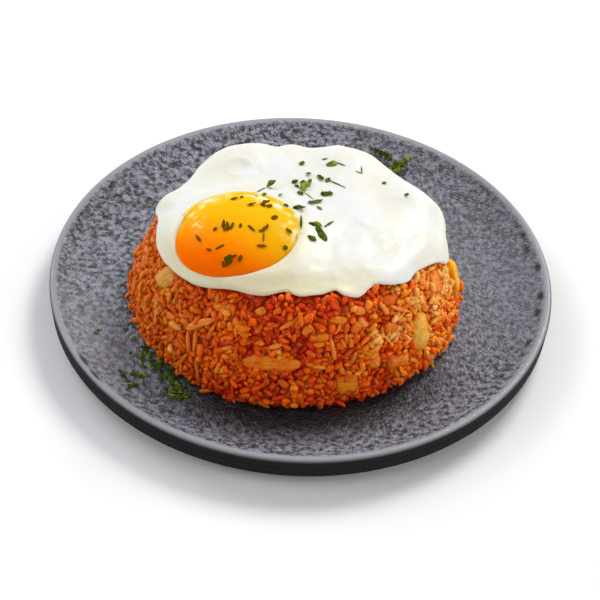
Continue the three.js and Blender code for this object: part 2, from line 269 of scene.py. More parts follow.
class GarnishSettings(PropertyGroup):
    leaf: colour("Leaf", "Fresh chopped herb", (0.022, 0.042, 0.0025))
    leaf_pale: colour("Leaf underside", "Paler side of the herb", (0.27, 0.37, 0.045))
    leaf_warm: colour("Leaf on the yolk", "Herb seen through the yolk's moisture", (0.14, 0.07, 0.001))
    amber: colour("Kimchi", "Wet kimchi stalk", (0.86, 0.3, 0.005))
    gold: colour("Golden kimchi", "Kimchi lit through at the mound's edge", (1.0, 0.47, 0.008))
    tan: colour("Stained cabbage", "Cabbage base browned by sauce", (0.76, 0.44, 0.2))
    olive: colour("Olive cabbage", "Older streaks of the stained cabbage", (0.62, 0.25, 0.008))
    amber_dark: colour("Kimchi edge", "Edges soaked in chilli", (0.7, 0.1, 0.001))
    cabbage: colour("Cabbage", "Pale yellow leaf base", (0.78, 0.46, 0.075))
    orange_stain: colour("Orange stain", "Onion soaked in chilli oil", (0.85, 0.17, 0.006))
    onion: colour("Onion", "Peach strips of onion", (0.9, 0.37, 0.075))


class StageSettings(PropertyGroup):
    distance: length("Camera distance", "From the camera to its target", 0.6, 5.0)
    lens: FloatProperty(name="Lens", description="Focal length in millimetres", default=91.4, min=10.0)
    elevation: angle_of("Elevation", "Camera above the horizon", 43.97)
    roll: angle_of("Roll", "Turn of the camera about its view", 3.19)
    floor: colour("Floor", "The pale table", (0.86, 0.86, 0.86))
    room: colour("Room", "Soft light from all round", (0.93, 0.96, 1.0))
    room_strength: FloatProperty(
        name="Room strength", description="Strength of the light from all round", default=0.4, min=0.0,
    )


class FriedRiceSettings(PropertyGroup):
    plate: PointerProperty(type=PlateSettings)
    rice: PointerProperty(type=RiceSettings)
    egg: PointerProperty(type=EggSettings)
    garnish: PointerProperty(type=GarnishSettings)
    stage: PointerProperty(type=StageSettings)


# ---- Shape tools --------------------------------------------------------------------------------


# Large odd numbers that scatter a lattice corner's whole-number place into a random value.
SCATTER_X, SCATTER_Y, SCATTER_Z = 73856093, 19349663, 83492791
SCATTER_SEED, SCATTER_MIX = 6972593, 1274126177


def lattice_noise(points, size, seed):
    """Smooth noise from -1 to 1: random values on a cubic lattice of this size, blended by smoothstep."""
    cell = np.asarray(points) / size
    low = np.floor(cell).astype(np.int64)
    part = cell - low
    part = part * part * (3 - 2 * part)
    total = np.zeros(cell.shape[:-1])
    for corner in itertools.product((0, 1), repeat=3):
        at = low + corner
        mix = at[..., 0] * SCATTER_X ^ at[..., 1] * SCATTER_Y ^ at[..., 2] * SCATTER_Z ^ seed * SCATTER_SEED
        mix = (mix ^ (mix >> 13)) * SCATTER_MIX
        value = ((mix ^ (mix >> 16)) & 0xFFFF) / 32767.5 - 1
        total += value * np.prod(np.where(corner, part, 1 - part), axis=-1)
    return total


def smoothstep(value, low, high):
    """0 below low, 1 above high, and an S curve between."""
    share = np.clip((value - low) / (high - low), 0, 1)
    return share * share * (3 - 2 * share)


def steps_round(count):
    """Even steps round a full turn."""
    return np.linspace(0, FULL_TURN, count, endpoint=False)


def turn_from(around, bearing):
    """The turn from a bearing to an angle, between half a turn back and half a turn on."""
    return np.mod(around - bearing + np.pi, FULL_TURN) - np.pi


def unit(vectors):
    """The vectors drawn to length 1."""
    return vectors / np.linalg.norm(vectors, axis=-1, keepdims=True)


def flat_points(x, y):
    """Points (x, y, 0), at which flat patterns are read."""
    return np.stack([x, y, np.zeros_like(x)], axis=-1)


def carried(local, centres, axes):
    """Each piece's local points turned onto its three axes and moved to its centre."""
    middle = centres.reshape(len(centres), *(1,) * (local.ndim - 2), 3)
    return middle + np.einsum("n...k,nkj->n...j", local, axes)


def with_poles(values, start=0, end=0):
    """Values for every point of a skin: its start point's, its rings' and its end point's."""
    return np.r_[start, values.ravel(), end]


def skin(starts, rings, ends):
    """Closed surfaces from rings (pieces, rings, around, 3), each fanned to its start and end point."""
    pieces, count, around = rings.shape[:3]
    points = np.concatenate([starts[:, None], rings.reshape(pieces, -1, 3), ends[:, None]], axis=1)
    index = 1 + np.arange(count * around).reshape(count, around)
    after = np.roll(index, -1, axis=1)
    last = np.full(around, points.shape[1] - 1)
    quads = np.stack([index[:-1], index[1:], after[1:], after[:-1]], axis=-1).reshape(-1, 4)
    fans = np.concatenate([
        np.stack([np.zeros(around, int), index[0], after[0]], axis=-1),
        np.stack([last, after[-1], index[-1]], axis=-1),
    ])
    step = points.shape[1] * np.arange(pieces)[:, None, None]
    return points.reshape(-1, 3), [(fans + step).reshape(-1, 3), (quads + step).reshape(-1, 4)]


def link_new(name, data):
    """A new object of this data, in the scene."""
    thing = bpy.data.objects.new(name, data)
    bpy.context.scene.collection.objects.link(thing)
    return thing


def build_piece(name, points, faces, material, slot, marks=None):
    """One mesh piece from whole arrays of points and faces, with named values kept at its points."""
    mesh = bpy.data.meshes.new(name)
    corners = np.concatenate([group.ravel() for group in faces]).astype(np.int32)
    sides = np.concatenate([np.full(len(group), group.shape[1]) for group in faces])
    mesh.vertices.add(len(points))
    mesh.vertices.foreach_set("co", np.ascontiguousarray(points, dtype=np.float32).ravel())
    mesh.loops.add(len(corners))
    mesh.loops.foreach_set("vertex_index", corners)
    mesh.polygons.add(len(sides))
    mesh.polygons.foreach_set("loop_start", (np.cumsum(sides) - sides).astype(np.int32))
    mesh.polygons.foreach_set("use_smooth", np.ones(len(sides), dtype=bool))
    for key, values in (marks or {}).items():
        mark = mesh.attributes.new(key, "FLOAT", "POINT")
        mark.data.foreach_set("value", np.ascontiguousarray(values, dtype=np.float32).ravel())
    mesh.update(calc_edges=True)
    mesh.validate()
    mesh.materials.append(material)
    piece = link_new(name, mesh)
    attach(piece, "root")
    return piece


# ---- The mound's surface, which everything on it follows ----------------------------------------


def outline_at(distance):
    """Radius, height and slope of the side outline: arcs laid end to end for this distance from the top."""
    left = np.asarray(distance, dtype=float)
    angle, radius = np.zeros_like(left), np.zeros_like(left)
    height = np.full_like(left, MOUND_TOP)
    for bend, degrees in MOUND_ARCS:
        turn = np.clip(left / bend, 0, math.radians(degrees))
        radius = radius + bend * (np.sin(angle + turn) - np.sin(angle))
        height = height - bend * (np.cos(angle) - np.cos(angle + turn))
        angle = angle + turn
        left = left - bend * turn
    return radius, height, angle


def over_mound(distance, around, lift=0.0):
    """Points a distance down the mound and an angle round it, lifted off it along its slope's normal."""
    distance, around, lift = np.broadcast_arrays(distance, around, lift)
    radius, height, angle = outline_at(distance)
    out = radius + lift * np.sin(angle)
    up = height + lift * np.cos(angle)
    flatter = np.where(np.sin(around) > 0, FLATTER_BACK, FLATTER_FRONT)
    drawn = out * (1 - flatter * np.sin(around) ** 2)
    x, y = drawn * np.cos(around), drawn * np.sin(around)
    share = (up - PLATE_FLOOR) / (MOUND_TOP - PLATE_FLOOR)
    z = up + share * (MOUND_LEAN[0] * x + MOUND_LEAN[1] * y)
    return np.stack([x + MOUND_CENTRE[0], y + MOUND_CENTRE[1], z], axis=-1)


def over_top(u, v, lift=0.0):
    """The same from the distances u and v along the mound, away from the middle of its top."""
    return over_mound(np.hypot(u, v), np.arctan2(v, u), lift)


def mound_axes(distance, around, lift=0.0):
    """Unit directions on the mound: round it, up its slope, and outwards."""
    step, side_radius = 0.05 * MM, 0.06
    here = over_mound(distance, around, lift)
    up = unit(over_mound(np.maximum(distance - step, 0), around, lift) - here)
    level = unit(over_mound(distance, around + step / side_radius, lift) - here)
    out = unit(np.cross(level, up))
    return level, np.cross(out, level), out


def hollow_at(distance, around):
    """Depth of the deep hollows here: a round dip at each place in the table."""
    total = np.zeros(np.broadcast_shapes(np.shape(distance), np.shape(around)))
    for down, bearing, radius, depth in RICE_HOLLOWS:
        turned = turn_from(around, math.radians(bearing))
        gap = np.hypot(distance / MM - down, turned * outline_at(down * MM)[0] / MM) / radius
        total = np.maximum(total, depth * MM * np.exp(-(gap**2)))
    return total


# How deep the rice has slumped behind the egg, the depth of the hollows between its lumps, and how far it
# bulges at its foot and at which bearing.
SLUMP = 3.2 * MM
LUMP_DEPTH = 1.7 * MM
FOOT_BULGE = 1.7 * MM
FOOT_BEARING = math.radians(247)


def sunk_at(distance, around):
    """How far the rice has slumped behind the egg: below the white's far edge and at the right flank."""
    beyond = distance - white_reach(around)
    behind = smoothstep(np.sin(around) + 0.25 * np.minimum(np.cos(around), 0), -0.05, 0.2)
    edge = behind * smoothstep(beyond, -12 * MM, -2 * MM) * (1 - smoothstep(beyond, 3 * MM, 13 * MM))
    bearing = np.mod(around, FULL_TURN)
    flank = smoothstep(bearing, 0.06, 0.2) * (1 - smoothstep(bearing, 0.9, 1.5))
    flank = flank * smoothstep(distance, 52 * MM, 66 * MM)
    return SLUMP * np.maximum(edge, flank)


def dent_at(distance, around):
    """How far the rice stands out from the plain mound: two crossed waves on its sides, hollows, a foot."""
    down = distance / MM
    wide = 1 + np.sin(7 * around + 0.11 * down) * np.sin(0.3 * down + 1.3)
    fine = 1 + np.sin(12 * around - 0.17 * down) * np.cos(0.5 * down)
    waves = -LUMP_DEPTH * smoothstep(down, 48, 62) * (0.3 * wide + 0.2 * fine)
    turned = turn_from(around, FOOT_BEARING)
    foot = FOOT_BULGE * smoothstep(down, 70, 84) * np.exp(-((turned / 0.3) ** 2))
    return waves + foot - sunk_at(distance, around) - hollow_at(distance, around)


def left_brown_at(x):
    """How far the rice is coloured browner, which is towards the left of the mound."""
    return 0.5 * smoothstep(-x, 20 * MM, 58 * MM)


def clump_at(distance, around):
    """Clumps of grains and hollows between them: noise from -1 to 1 at the size of a few grains."""
    place = over_mound(distance, around)
    return 0.8 * lattice_noise(place, 3.6 * MM, seed=25) + 0.5 * lattice_noise(place, 7.5 * MM, seed=26)


# ---- Materials ----------------------------------------------------------------------------------


def add(tree, kind, settings=None, **values):
    """A node of this kind; its settings and inputs are given by name, an input as a value or an output."""
    node = tree.nodes.new(kind)
    for key, value in (settings or {}).items():
        setattr(node, key, value)
    for key, value in values.items():
        plug(tree, node.inputs[key.replace("_", " ")], value)
    return node


def plug(tree, socket, value):
    """Link an output to the socket, or set the socket's own value."""
    if isinstance(value, bpy.types.NodeSocket):
        tree.links.new(value, socket)
    elif isinstance(socket.default_value, (int, float)):
        socket.default_value = value
    else:
        socket.default_value = (*value, 1.0)[: len(socket.default_value)]


def blend(tree, share, first, second):
    """A colour between two others; among this node's sockets, colours come after numbers and vectors."""
    node = tree.nodes.new("ShaderNodeMix")
    node.data_type = "RGBA"
    for socket, value in ((node.inputs[0], share), (node.inputs[6], first), (node.inputs[7], second)):
        plug(tree, socket, value)
    return node.outputs[2]


def sum_up(tree, operation, first, second):
    """A Math node on two values."""
    node = tree.nodes.new("ShaderNodeMath")
    node.operation = operation
    plug(tree, node.inputs[0], first)
    plug(tree, node.inputs[1], second)
    return node.outputs[0]


def ramp_between(tree, value, low, high):
    """The value stretched so that low becomes 0 and high becomes 1."""
    settings = {"interpolation_type": "SMOOTHSTEP"}
    node = add(tree, "ShaderNodeMapRange", settings, Value=value, From_Min=low, From_Max=high)
    return node.outputs[0]


def mark_value(tree, name):
    """A value kept at the mesh's points."""
    return add(tree, "ShaderNodeAttribute", {"attribute_name": name}).outputs["Fac"]


def group_tree(name, takes, gives):
    """An empty shader node group with these inputs and outputs, each (name, kind, default)."""
    tree = bpy.data.node_groups.new(name, "ShaderNodeTree")
    for label, kind, default in takes:
        socket = tree.interface.new_socket(label, in_out="INPUT", socket_type=kind)
        socket.default_value = default
    for label, kind in gives:
        tree.interface.new_socket(label, in_out="OUTPUT", socket_type=kind)
    return tree, tree.nodes.new("NodeGroupInput"), tree.nodes.new("NodeGroupOutput")


def mottle_group():
    """Two colours in soft patches, at a coarse and a fine scale."""
    found = bpy.data.node_groups.get("Soft Mottle")
    if found:
        return found
    tree, takes, gives = group_tree(
        "Soft Mottle",
        (("Scale", "NodeSocketFloat", 100.0), ("Dark", "NodeSocketColor", (0, 0, 0, 1)),
         ("Light", "NodeSocketColor", (1, 1, 1, 1))),
        (("Color", "NodeSocketColor"), ("Mask", "NodeSocketFloat")),
    )
    place = add(tree, "ShaderNodeTexCoord").outputs["Object"]
    coarse = add(tree, "ShaderNodeTexNoise", Vector=place, Scale=takes.outputs["Scale"], Detail=2.0)
    finer = sum_up(tree, "MULTIPLY", takes.outputs["Scale"], 4.3)
    fine = add(tree, "ShaderNodeTexNoise", Vector=place, Scale=finer, Detail=3.0)
    both = sum_up(tree, "ADD", coarse.outputs[0], sum_up(tree, "MULTIPLY", fine.outputs[0], 0.6))
    mask = ramp_between(tree, both, 0.6, 1.0)
    tree.links.new(blend(tree, mask, takes.outputs["Dark"], takes.outputs["Light"]), gives.inputs["Color"])
    tree.links.new(mask, gives.inputs["Mask"])
    return tree


def relief_group():
    """Small lumps and pits, as a height."""
    found = bpy.data.node_groups.get("Small Relief")
    if found:
        return found
    tree, takes, gives = group_tree(
        "Small Relief",
        (("Scale", "NodeSocketFloat", 800.0), ("Pits", "NodeSocketFloat", 0.5)),
        (("Height", "NodeSocketFloat"),),
    )
    place = add(tree, "ShaderNodeTexCoord").outputs["Object"]
    lumps = add(tree, "ShaderNodeTexNoise", Vector=place, Scale=takes.outputs["Scale"], Detail=3.0)
    pits = add(tree, "ShaderNodeTexVoronoi", Vector=place, Scale=takes.outputs["Scale"])
    hollow = sum_up(tree, "MULTIPLY", pits.outputs["Distance"], takes.outputs["Pits"])
    tree.links.new(sum_up(tree, "ADD", lumps.outputs[0], hollow), gives.inputs["Height"])
    return tree


def place_group(tree, group, **values):
    """A shared group in a material's tree, with its own values."""
    node = tree.nodes.new("ShaderNodeGroup")
    node.node_tree = group
    for key, value in values.items():
        plug(tree, node.inputs[key], value)
    return node


def mottled(tree, scale, dark, light):
    """The two colours in patches, at so many to the metre."""
    return place_group(tree, mottle_group(), Scale=scale, Dark=tuple(dark), Light=tuple(light))


def small_relief(tree, scale, pits):
    """The height of small lumps, at so many to the metre, and of pits of this strength."""
    return place_group(tree, relief_group(), Scale=scale, Pits=pits).outputs["Height"]


def mixed(first, second, share):
    """A fixed colour between two others."""
    return tuple((1 - share) * one + share * other for one, other in zip(first, second))


def shader_material(name, **values):
    """A new material; the values are set on the Principled shader's own sockets."""
    material = bpy.data.materials.new(name)
    material.use_nodes = True
    tree = material.node_tree
    shader = tree.nodes["Principled BSDF"]
    for key, value in values.items():
        plug(tree, shader.inputs[key.replace("_", " ")], value)
    return material, tree, shader


def bump(tree, shader, height, distance, strength=1.0):
    """Feed a height to the shader's normal, its depth in metres."""
    node = add(tree, "ShaderNodeBump", Height=height, Distance=distance, Strength=strength)
    tree.links.new(node.outputs["Normal"], shader.inputs["Normal"])


def stoneware_material(settings):
    """Rough mottled grey, smoother at the lip and painted paler there as its highlight, with a painted
    patch of light on the slope, painted shadow in front of the rice and the glaze's dark smudges, nearly
    black on the outer side.
    """
    material, tree, shader = shader_material("rough stoneware", Specular_IOR_Level=0.42)
    mottle = mottled(tree, 470.0, settings.dark, settings.pale)
    even = mixed(settings.pale, settings.dark, 0.5)
    calmed = blend(tree, mark_value(tree, "calm"), mottle.outputs["Color"], even)
    # The lip painted paler as its highlight, and a painted patch of light on the slope.
    highlit = blend(tree, mark_value(tree, "lip"), calmed, tuple(settings.lip))
    # Painted shadow in front of the rice and the glaze's dark smudges, in one colour.
    shadowed = blend(tree, mark_value(tree, "grease"), highlit, tuple(settings.grease))
    whole = blend(tree, mark_value(tree, "side"), shadowed, tuple(settings.clay))
    tree.links.new(whole, shader.inputs["Base Color"])
    glazed = add(tree, "ShaderNodeMapRange", Value=mottle.outputs["Mask"], To_Min=0.55, To_Max=0.34)
    side = mark_value(tree, "side")
    rough = add(tree, "ShaderNodeMapRange", Value=side, To_Min=glazed.outputs[0], To_Max=1.0)
    tree.links.new(rough.outputs[0], shader.inputs["Roughness"])
    relief = small_relief(tree, 950.0, 0.7)
    smooth = sum_up(tree, "SUBTRACT", 1.0, sum_up(tree, "MULTIPLY", mark_value(tree, "lip"), 0.85))
    bump(tree, shader, sum_up(tree, "MULTIPLY", relief, smooth), 0.5 * MM)
    return material


def rice_material(name, base, deep, pale, left_brown_colour):
    """Glossy, slightly see-through grain: its tint, which carries painted light and shade, redder where
    sauce pools, browner towards the left of the mound.
    """
    material, tree, shader = shader_material(
        name, Roughness=0.45, Specular_IOR_Level=0.15, Specular_Tint=(1.0, 0.45, 0.2),
        Coat_Weight=0.26, Coat_Roughness=0.1,
        Subsurface_Weight=0.5, Subsurface_Radius=(2.5 * MM, 0.8 * MM, 0.2 * MM), Subsurface_Scale=1.0,
    )
    mottle = mottled(tree, 380.0, deep, base)
    tinted = blend(tree, mark_value(tree, "tint"), mottle.outputs["Color"], tuple(pale))
    browned = blend(tree, mark_value(tree, "toast"), tinted, tuple(left_brown_colour))
    tree.links.new(browned, shader.inputs["Base Color"])
    bump(tree, shader, small_relief(tree, 900.0, 0.4), 0.3 * MM)
    return material


def wet_vegetable_material(name, middle, edge, ribbed=0.5):
    """Translucent wet stalk: streaked along its fibres, pale inside, stained by chilli at its rim, and
    painted darker along its lower side as shade.
    """
    material, tree, shader = shader_material(
        name, Roughness=0.4, Specular_IOR_Level=0.25, Specular_Tint=(1.0, 0.7, 0.4),
        Coat_Weight=0.2, Coat_Roughness=0.12,
        Subsurface_Weight=0.4, Subsurface_Radius=(3 * MM, 1.2 * MM, 0.2 * MM), Subsurface_Scale=1.0,
    )
    mottle = mottled(tree, 240.0, edge, middle)
    line = {"noise_dimensions": "1D"}
    fibres = add(tree, "ShaderNodeTexNoise", line, W=mark_value(tree, "fibre"), Scale=1.1, Detail=2.0)
    streak = ramp_between(tree, fibres.outputs[0], 0.36, 0.62)
    inner = blend(tree, streak, mixed(middle, edge, ribbed), mottle.outputs["Color"])
    rim = ramp_between(tree, mark_value(tree, "edge"), 0.6, 1.2)
    # The mark holds the chilli stain and the painted shade along the lower side.
    stained = sum_up(tree, "MAXIMUM", rim, mark_value(tree, "stain"))
    tree.links.new(blend(tree, stained, inner, tuple(edge)), shader.inputs["Base Color"])
    ribs = sum_up(tree, "ADD", small_relief(tree, 420.0, 0.2), fibres.outputs[0])
    bump(tree, shader, ribs, 0.35 * MM)
    return material


def white_material(settings):
    """Set white: bright and glossy, creamier where it is thin and round the yolk, and painted creamier
    along its front as shade.
    """
    material, tree, shader = shader_material(
        "egg white", Roughness=0.5, Specular_IOR_Level=0.3, Coat_Weight=0.1, Coat_Roughness=0.15,
        Subsurface_Weight=0.35, Subsurface_Radius=(3 * MM, 2.8 * MM, 2 * MM), Subsurface_Scale=1.0,
    )
    mottle = mottled(tree, 45.0, settings.cream, settings.white)
    settled = blend(tree, 0.6, mottle.outputs["Color"], tuple(settings.white))
    creamy = blend(tree, mark_value(tree, "cream"), settled, tuple(settings.cream))
    tree.links.new(creamy, shader.inputs["Base Color"])
    bump(tree, shader, small_relief(tree, 160.0, 0.15), 0.25 * MM)
    return material


def yolk_material(settings):
    """Deep orange at the front as painted shade, yellow at the back as painted light, with a broken layer
    of white over its far rim and small painted highlights at its left.
    """
    material, tree, shader = shader_material(
        "egg yolk", Roughness=0.5, Specular_IOR_Level=0.0, Coat_Weight=0.025, Coat_Roughness=0.05,
        Subsurface_Weight=0.35, Subsurface_Radius=(3 * MM, 1.4 * MM, 0.6 * MM), Subsurface_Scale=1.0,
    )
    # Painted shade at the yolk's front, painted light at its back.
    back = mark_value(tree, "back")
    risen = ramp_between(tree, back, -0.95, 0.1)
    front = blend(tree, risen, tuple(settings.yolk_shaded_front), tuple(settings.yolk_middle))
    whole = blend(tree, ramp_between(tree, back, -0.2, 0.75), front, tuple(settings.yolk_lit_back))
    # The mark below holds the white's layer over the far rim and the painted highlights at the left.
    film = mark_value(tree, "film")
    veiled = blend(tree, ramp_between(tree, film, 0.0, 0.8), whole, tuple(settings.film))
    edged = blend(tree, ramp_between(tree, film, 0.85, 1.0), veiled, tuple(settings.white))
    tree.links.new(edged, shader.inputs["Base Color"])
    bump(tree, shader, small_relief(tree, 120.0, 0.1), 0.12 * MM)
    return material


def leaf_material(settings):
    """Chopped herb: dark green, with paler patches."""
    material, tree, shader = shader_material("herb leaf", Roughness=0.7, Specular_IOR_Level=0.0)
    fresh = mixed(settings.leaf, settings.leaf_pale, 0.2)
    dark = mottled(tree, 500.0, settings.leaf, fresh)
    light = mottled(tree, 300.0, fresh, settings.leaf_pale)
    tinted = blend(tree, mark_value(tree, "tint"), dark.outputs["Color"], light.outputs["Color"])
    warmed = blend(tree, mark_value(tree, "warm"), tinted, tuple(settings.leaf_warm))
    tree.links.new(warmed, shader.inputs["Base Color"])
    bump(tree, shader, small_relief(tree, 1500.0, 0.3), 0.1 * MM)
    return material


# ---- The plate ----------------------------------------------------------------------------------


def curve(start, pull, end, count):
    """A quadratic curve: start and end weighted by (1-t) squared and t squared, pull by 2t(1-t)."""
    t = np.linspace(0, 1, count, endpoint=False)[:, None]
    return (1 - t) ** 2 * np.array(start) + 2 * t * (1 - t) * np.array(pull) + t * t * np.array(end)


def straight(start, end, count):
    """Even steps on a straight line."""
    t = np.linspace(0, 1, count, endpoint=False)[:, None]
    return (1 - t) * np.array(start) + t * np.array(end)


# Dark smudges of glaze inside the lip: (degrees round, distance from the middle, half length and half
# width in mm).
PLATE_SMUDGES = (
    (18, 95.5, 2.2, 1.1), (13, 94.5, 2.6, 1.3), (6, 96, 2.6, 1.3), (-4, 95.6, 2.6, 1.4),
    (-9.5, 94.8, 2.6, 1.4), (-20, 94.5, 2.4, 1.1), (-144.6, 97.4, 4.6, 0.9), (-139.4, 97.8, 4.2, 0.7),
    (150, 94.5, 2.4, 1.1),
)

# Points of the plate's profile, counted from the middle of its top: how many give the height of its well
# and slope, how many lie inside the crest of its lip, how many may take the lip's colour, and the two
# between which the outer side's colour comes in.
SLOPE_POINTS, CREST_POINTS, LIP_POINTS, SIDE_POINTS = 60, 76, 88, (77, 83)


def plate_profile():
    """Radius and height from the underside's middle, round the edge, to the top's middle, in metres."""
    edge, top = PLATE_RADIUS / MM, PLATE_HEIGHT / MM
    floor, recess = PLATE_FLOOR / MM, PLATE_RECESS / MM
    inside_foot, foot_in, foot_out, outside_foot = (59, recess), (60.5, 0), (69.5, 0), (71, 3.2)
    bottom, side_low, side_high = (edge - 7, 4), (edge - 0.3, top - 8.2), (edge, top - 1.8)
    lip_in = edge - 4.2
    crest, lip_foot, slope_end = (edge - 1.5, top), (lip_in, top - 1.2), (edge - 14.4, floor + 2)
    flat_end, relief_end, middle = (70, floor), (56, floor), (1, floor)
    parts = [
        straight((1, recess), inside_foot, 8),
        straight(inside_foot, foot_in, 3),
        straight(foot_in, foot_out, 5),
        straight(foot_out, outside_foot, 4),
        straight(outside_foot, bottom, 12),
        curve(bottom, (edge - 0.6, 4.4), side_low, 10),
        straight(side_low, side_high, 9),
        curve(side_high, (edge, top), crest, 9),
        curve(crest, (lip_in + 1.6, top), lip_foot, 9),
        curve(lip_foot, (lip_in - 3.3, floor + 4.4), slope_end, 18),
        curve(slope_end, (76, floor + 0.1), flat_end, 22),
        straight(flat_end, relief_end, 18),
        straight(relief_end, middle, 8),
        np.array([middle]),
    ]
    return np.concatenate(parts) * MM


def plate_height(radius):
    """Height of the plate's well and slope at this radius."""
    upper = plate_profile()[-SLOPE_POINTS:][::-1]
    return np.interp(radius, upper[:, 0], upper[:, 1])


def hammer_marks(settings, flat, hammered, calm):
    """Height of the hammered relief: noise at two sizes and slow waves, less deep where it is calm."""
    marks = 0.65 * lattice_noise(flat, settings.relief_size, seed=3)
    marks = marks + 0.35 * lattice_noise(flat, 0.5 * settings.relief_size, seed=4)
    waves = 0.5 * lattice_noise(flat, 9 * MM, seed=5)
    return hammered * settings.relief * (1.4 - 0.8 * calm) * (marks + waves)


def lip_and_lit_patch_mark(radius, around, order, on_top):
    """Where the plate is painted paler: the smoother lip, as its painted highlight, and a painted patch of
    light on the slope at one bearing.
    """
    lip = smoothstep(radius, 96 * MM, 98 * MM) * (order < LIP_POINTS)
    # A painted patch of light on the slope at the front left.
    turned = turn_from(around, math.radians(208))
    painted_light = 0.4 * on_top * np.exp(-((turned / 0.42) ** 2)) * smoothstep(radius, 66 * MM, 80 * MM)
    return np.maximum(lip, painted_light)


def shadow_and_smudge_mark(radius, around, flat, on_top):
    """Where the plate is painted dark: painted shadow in front of the rice, a faint darker patch at one
    bearing, and the glaze's dark smudges.
    """
    from_rice = np.hypot(flat[..., 0] - MOUND_CENTRE[0], flat[..., 1] - MOUND_CENTRE[1]) - 64 * MM
    # Painted shadow of the mound on the plate, in front of the rice.
    front = smoothstep(0.1 * np.cos(around) - np.sin(around), 0.45, 0.95)
    grease = on_top * 0.95 * front * (1 - smoothstep(from_rice, 4 * MM, 24 * MM))
    turned = turn_from(around, math.radians(35))
    grease = np.maximum(grease, 0.2 * on_top * np.exp(-((turned / 0.4) ** 2)))
    for bearing, out, long, wide in PLATE_SMUDGES:
        off = turn_from(around, math.radians(bearing))
        spot = (off * out / long) ** 2 + ((radius / MM - out) / wide) ** 2
        grease = np.maximum(grease, on_top * np.exp(-(spot**2)))
    return grease


def make_plate(settings):
    """The profile carried round, its well and slope hammered; the middle and the lip stay smooth."""
    profile = plate_profile()[::-1]
    around = steps_round(720)
    radius, height = profile[:, 0][:, None], profile[:, 1][:, None]
    flat = np.stack(np.broadcast_arrays(radius * np.cos(around), radius * np.sin(around), height), axis=-1)
    order = np.arange(len(profile))[:, None] + np.zeros(len(around))
    on_top = order < CREST_POINTS
    calm = smoothstep(flat[..., 0], -20 * MM, 60 * MM) * smoothstep(flat[..., 1], -60 * MM, -15 * MM)
    calm *= 1 - 0.5 * smoothstep(flat[..., 1], 20 * MM, 70 * MM)
    hammered = on_top * smoothstep(radius, 52 * MM, 58 * MM)
    hammered = hammered * (1 - 0.85 * smoothstep(radius, 94.5 * MM, 97.6 * MM))
    rings = flat.copy()
    rings[..., 2] += hammer_marks(settings, flat, hammered, calm)
    top_middle, foot_middle = np.array([[0, 0, PLATE_FLOOR]]), np.array([[0, 0, PLATE_RECESS]])
    points, faces = skin(top_middle, rings[None], foot_middle)
    marks = {
        "lip": with_poles(lip_and_lit_patch_mark(radius, around, order, on_top)),
        "side": with_poles(smoothstep(order, *SIDE_POINTS), end=1),
        "grease": with_poles(shadow_and_smudge_mark(radius, around, flat, on_top)),
        "calm": with_poles(0.5 * calm),
    }
    piece = build_piece("plate_body", points, faces, stoneware_material(settings), "stoneware", marks)
    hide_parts("plate")


# ---- Rice ---------------------------------------------------------------------------------------


def make_rice_core(settings):
    """The pressed rice under the grains: the mound drawn in a little, with lumps the size of grains."""
    distance = np.linspace(2 * MM, MOUND_LENGTH, 130)[:, None]
    around = steps_round(400)
    depth = -0.3 * MM - 0.45 * MM * smoothstep(distance, 38 * MM, 47 * MM)
    flat = over_mound(distance, around, depth)
    lumps = 0.8 * lattice_noise(flat, 2.6 * MM, seed=11) + 0.6 * lattice_noise(flat, 1.4 * MM, seed=12)
    clumps = clump_at(distance, around) * smoothstep(distance, 38 * MM, 50 * MM)
    lift = depth + dent_at(distance, around) + MM * (0.55 * lumps + 1.05 * clumps)
    rings = over_mound(distance, around, lift)
    low = PLATE_FLOOR + 0.15 * MM
    rings[..., 2] = np.maximum(rings[..., 2], low)
    rings[-1, :, 2] = low
    start, end = over_mound(0, 0, -0.3 * MM), np.array([*MOUND_CENTRE, low])
    points, faces = skin(start[None], rings[None], end[None])
    hollows = hollow_at(distance, around) / MM
    # Painted light on the lumps and clumps, painted shade in the hollows.
    tint = smoothstep(lumps + 0.9 * clumps - hollows, 0.3, 1.6)
    marks = {"tint": with_poles(tint), "toast": left_brown_at(points[:, 0])}
    shades = (settings.red, settings.sauce, settings.orange, settings.left_brown_colour)
    material = rice_material("rice in sauce", *shades)
    piece = build_piece("rice_core", points, faces, material, "rice", marks)
    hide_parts("rice_mound")


def slab_shapes(size, stations, around, rough, seed):
    """Blunt slabs in their own axes: a superellipse section carried along, drawn in at both ends."""
    half = size[:, :, None, None] / 2
    last_ring, bluntness, side_power, face_power = 0.95, 3.4, 0.72, 0.68
    along = np.sin(np.linspace(-1, 1, stations) * np.pi / 2 * last_ring)[:, None]
    girth = (1 - np.abs(along) ** bluntness) ** 0.5
    angle = steps_round(around)
    across, out = np.cos(angle), -np.sin(angle)
    parts = (
        half[:, 0] * along,
        half[:, 1] * girth * np.sign(across) * np.abs(across) ** side_power,
        half[:, 2] * girth * np.sign(out) * np.abs(out) ** face_power,
    )
    rings = np.stack(np.broadcast_arrays(*parts), axis=-1)
    apart = rings + 40 * MM * numbered(size)
    swell = lattice_noise(apart, 3.4 * MM, seed=seed) + 0.45 * lattice_noise(apart, 1.3 * MM, seed=seed + 1)
    rings[..., 1:] *= 1 + rough * swell[..., None]
    sway = lattice_noise(apart * (1, 0, 0), 5 * MM, seed=seed + 2)
    rings[..., 1] += rough * 0.8 * half[:, 1] * sway
    tips = np.stack([-half[:, 0, 0, 0], half[:, 0, 0, 0]])[..., None] * np.array([1.0, 0, 0])
    return tips[0], rings, tips[1]


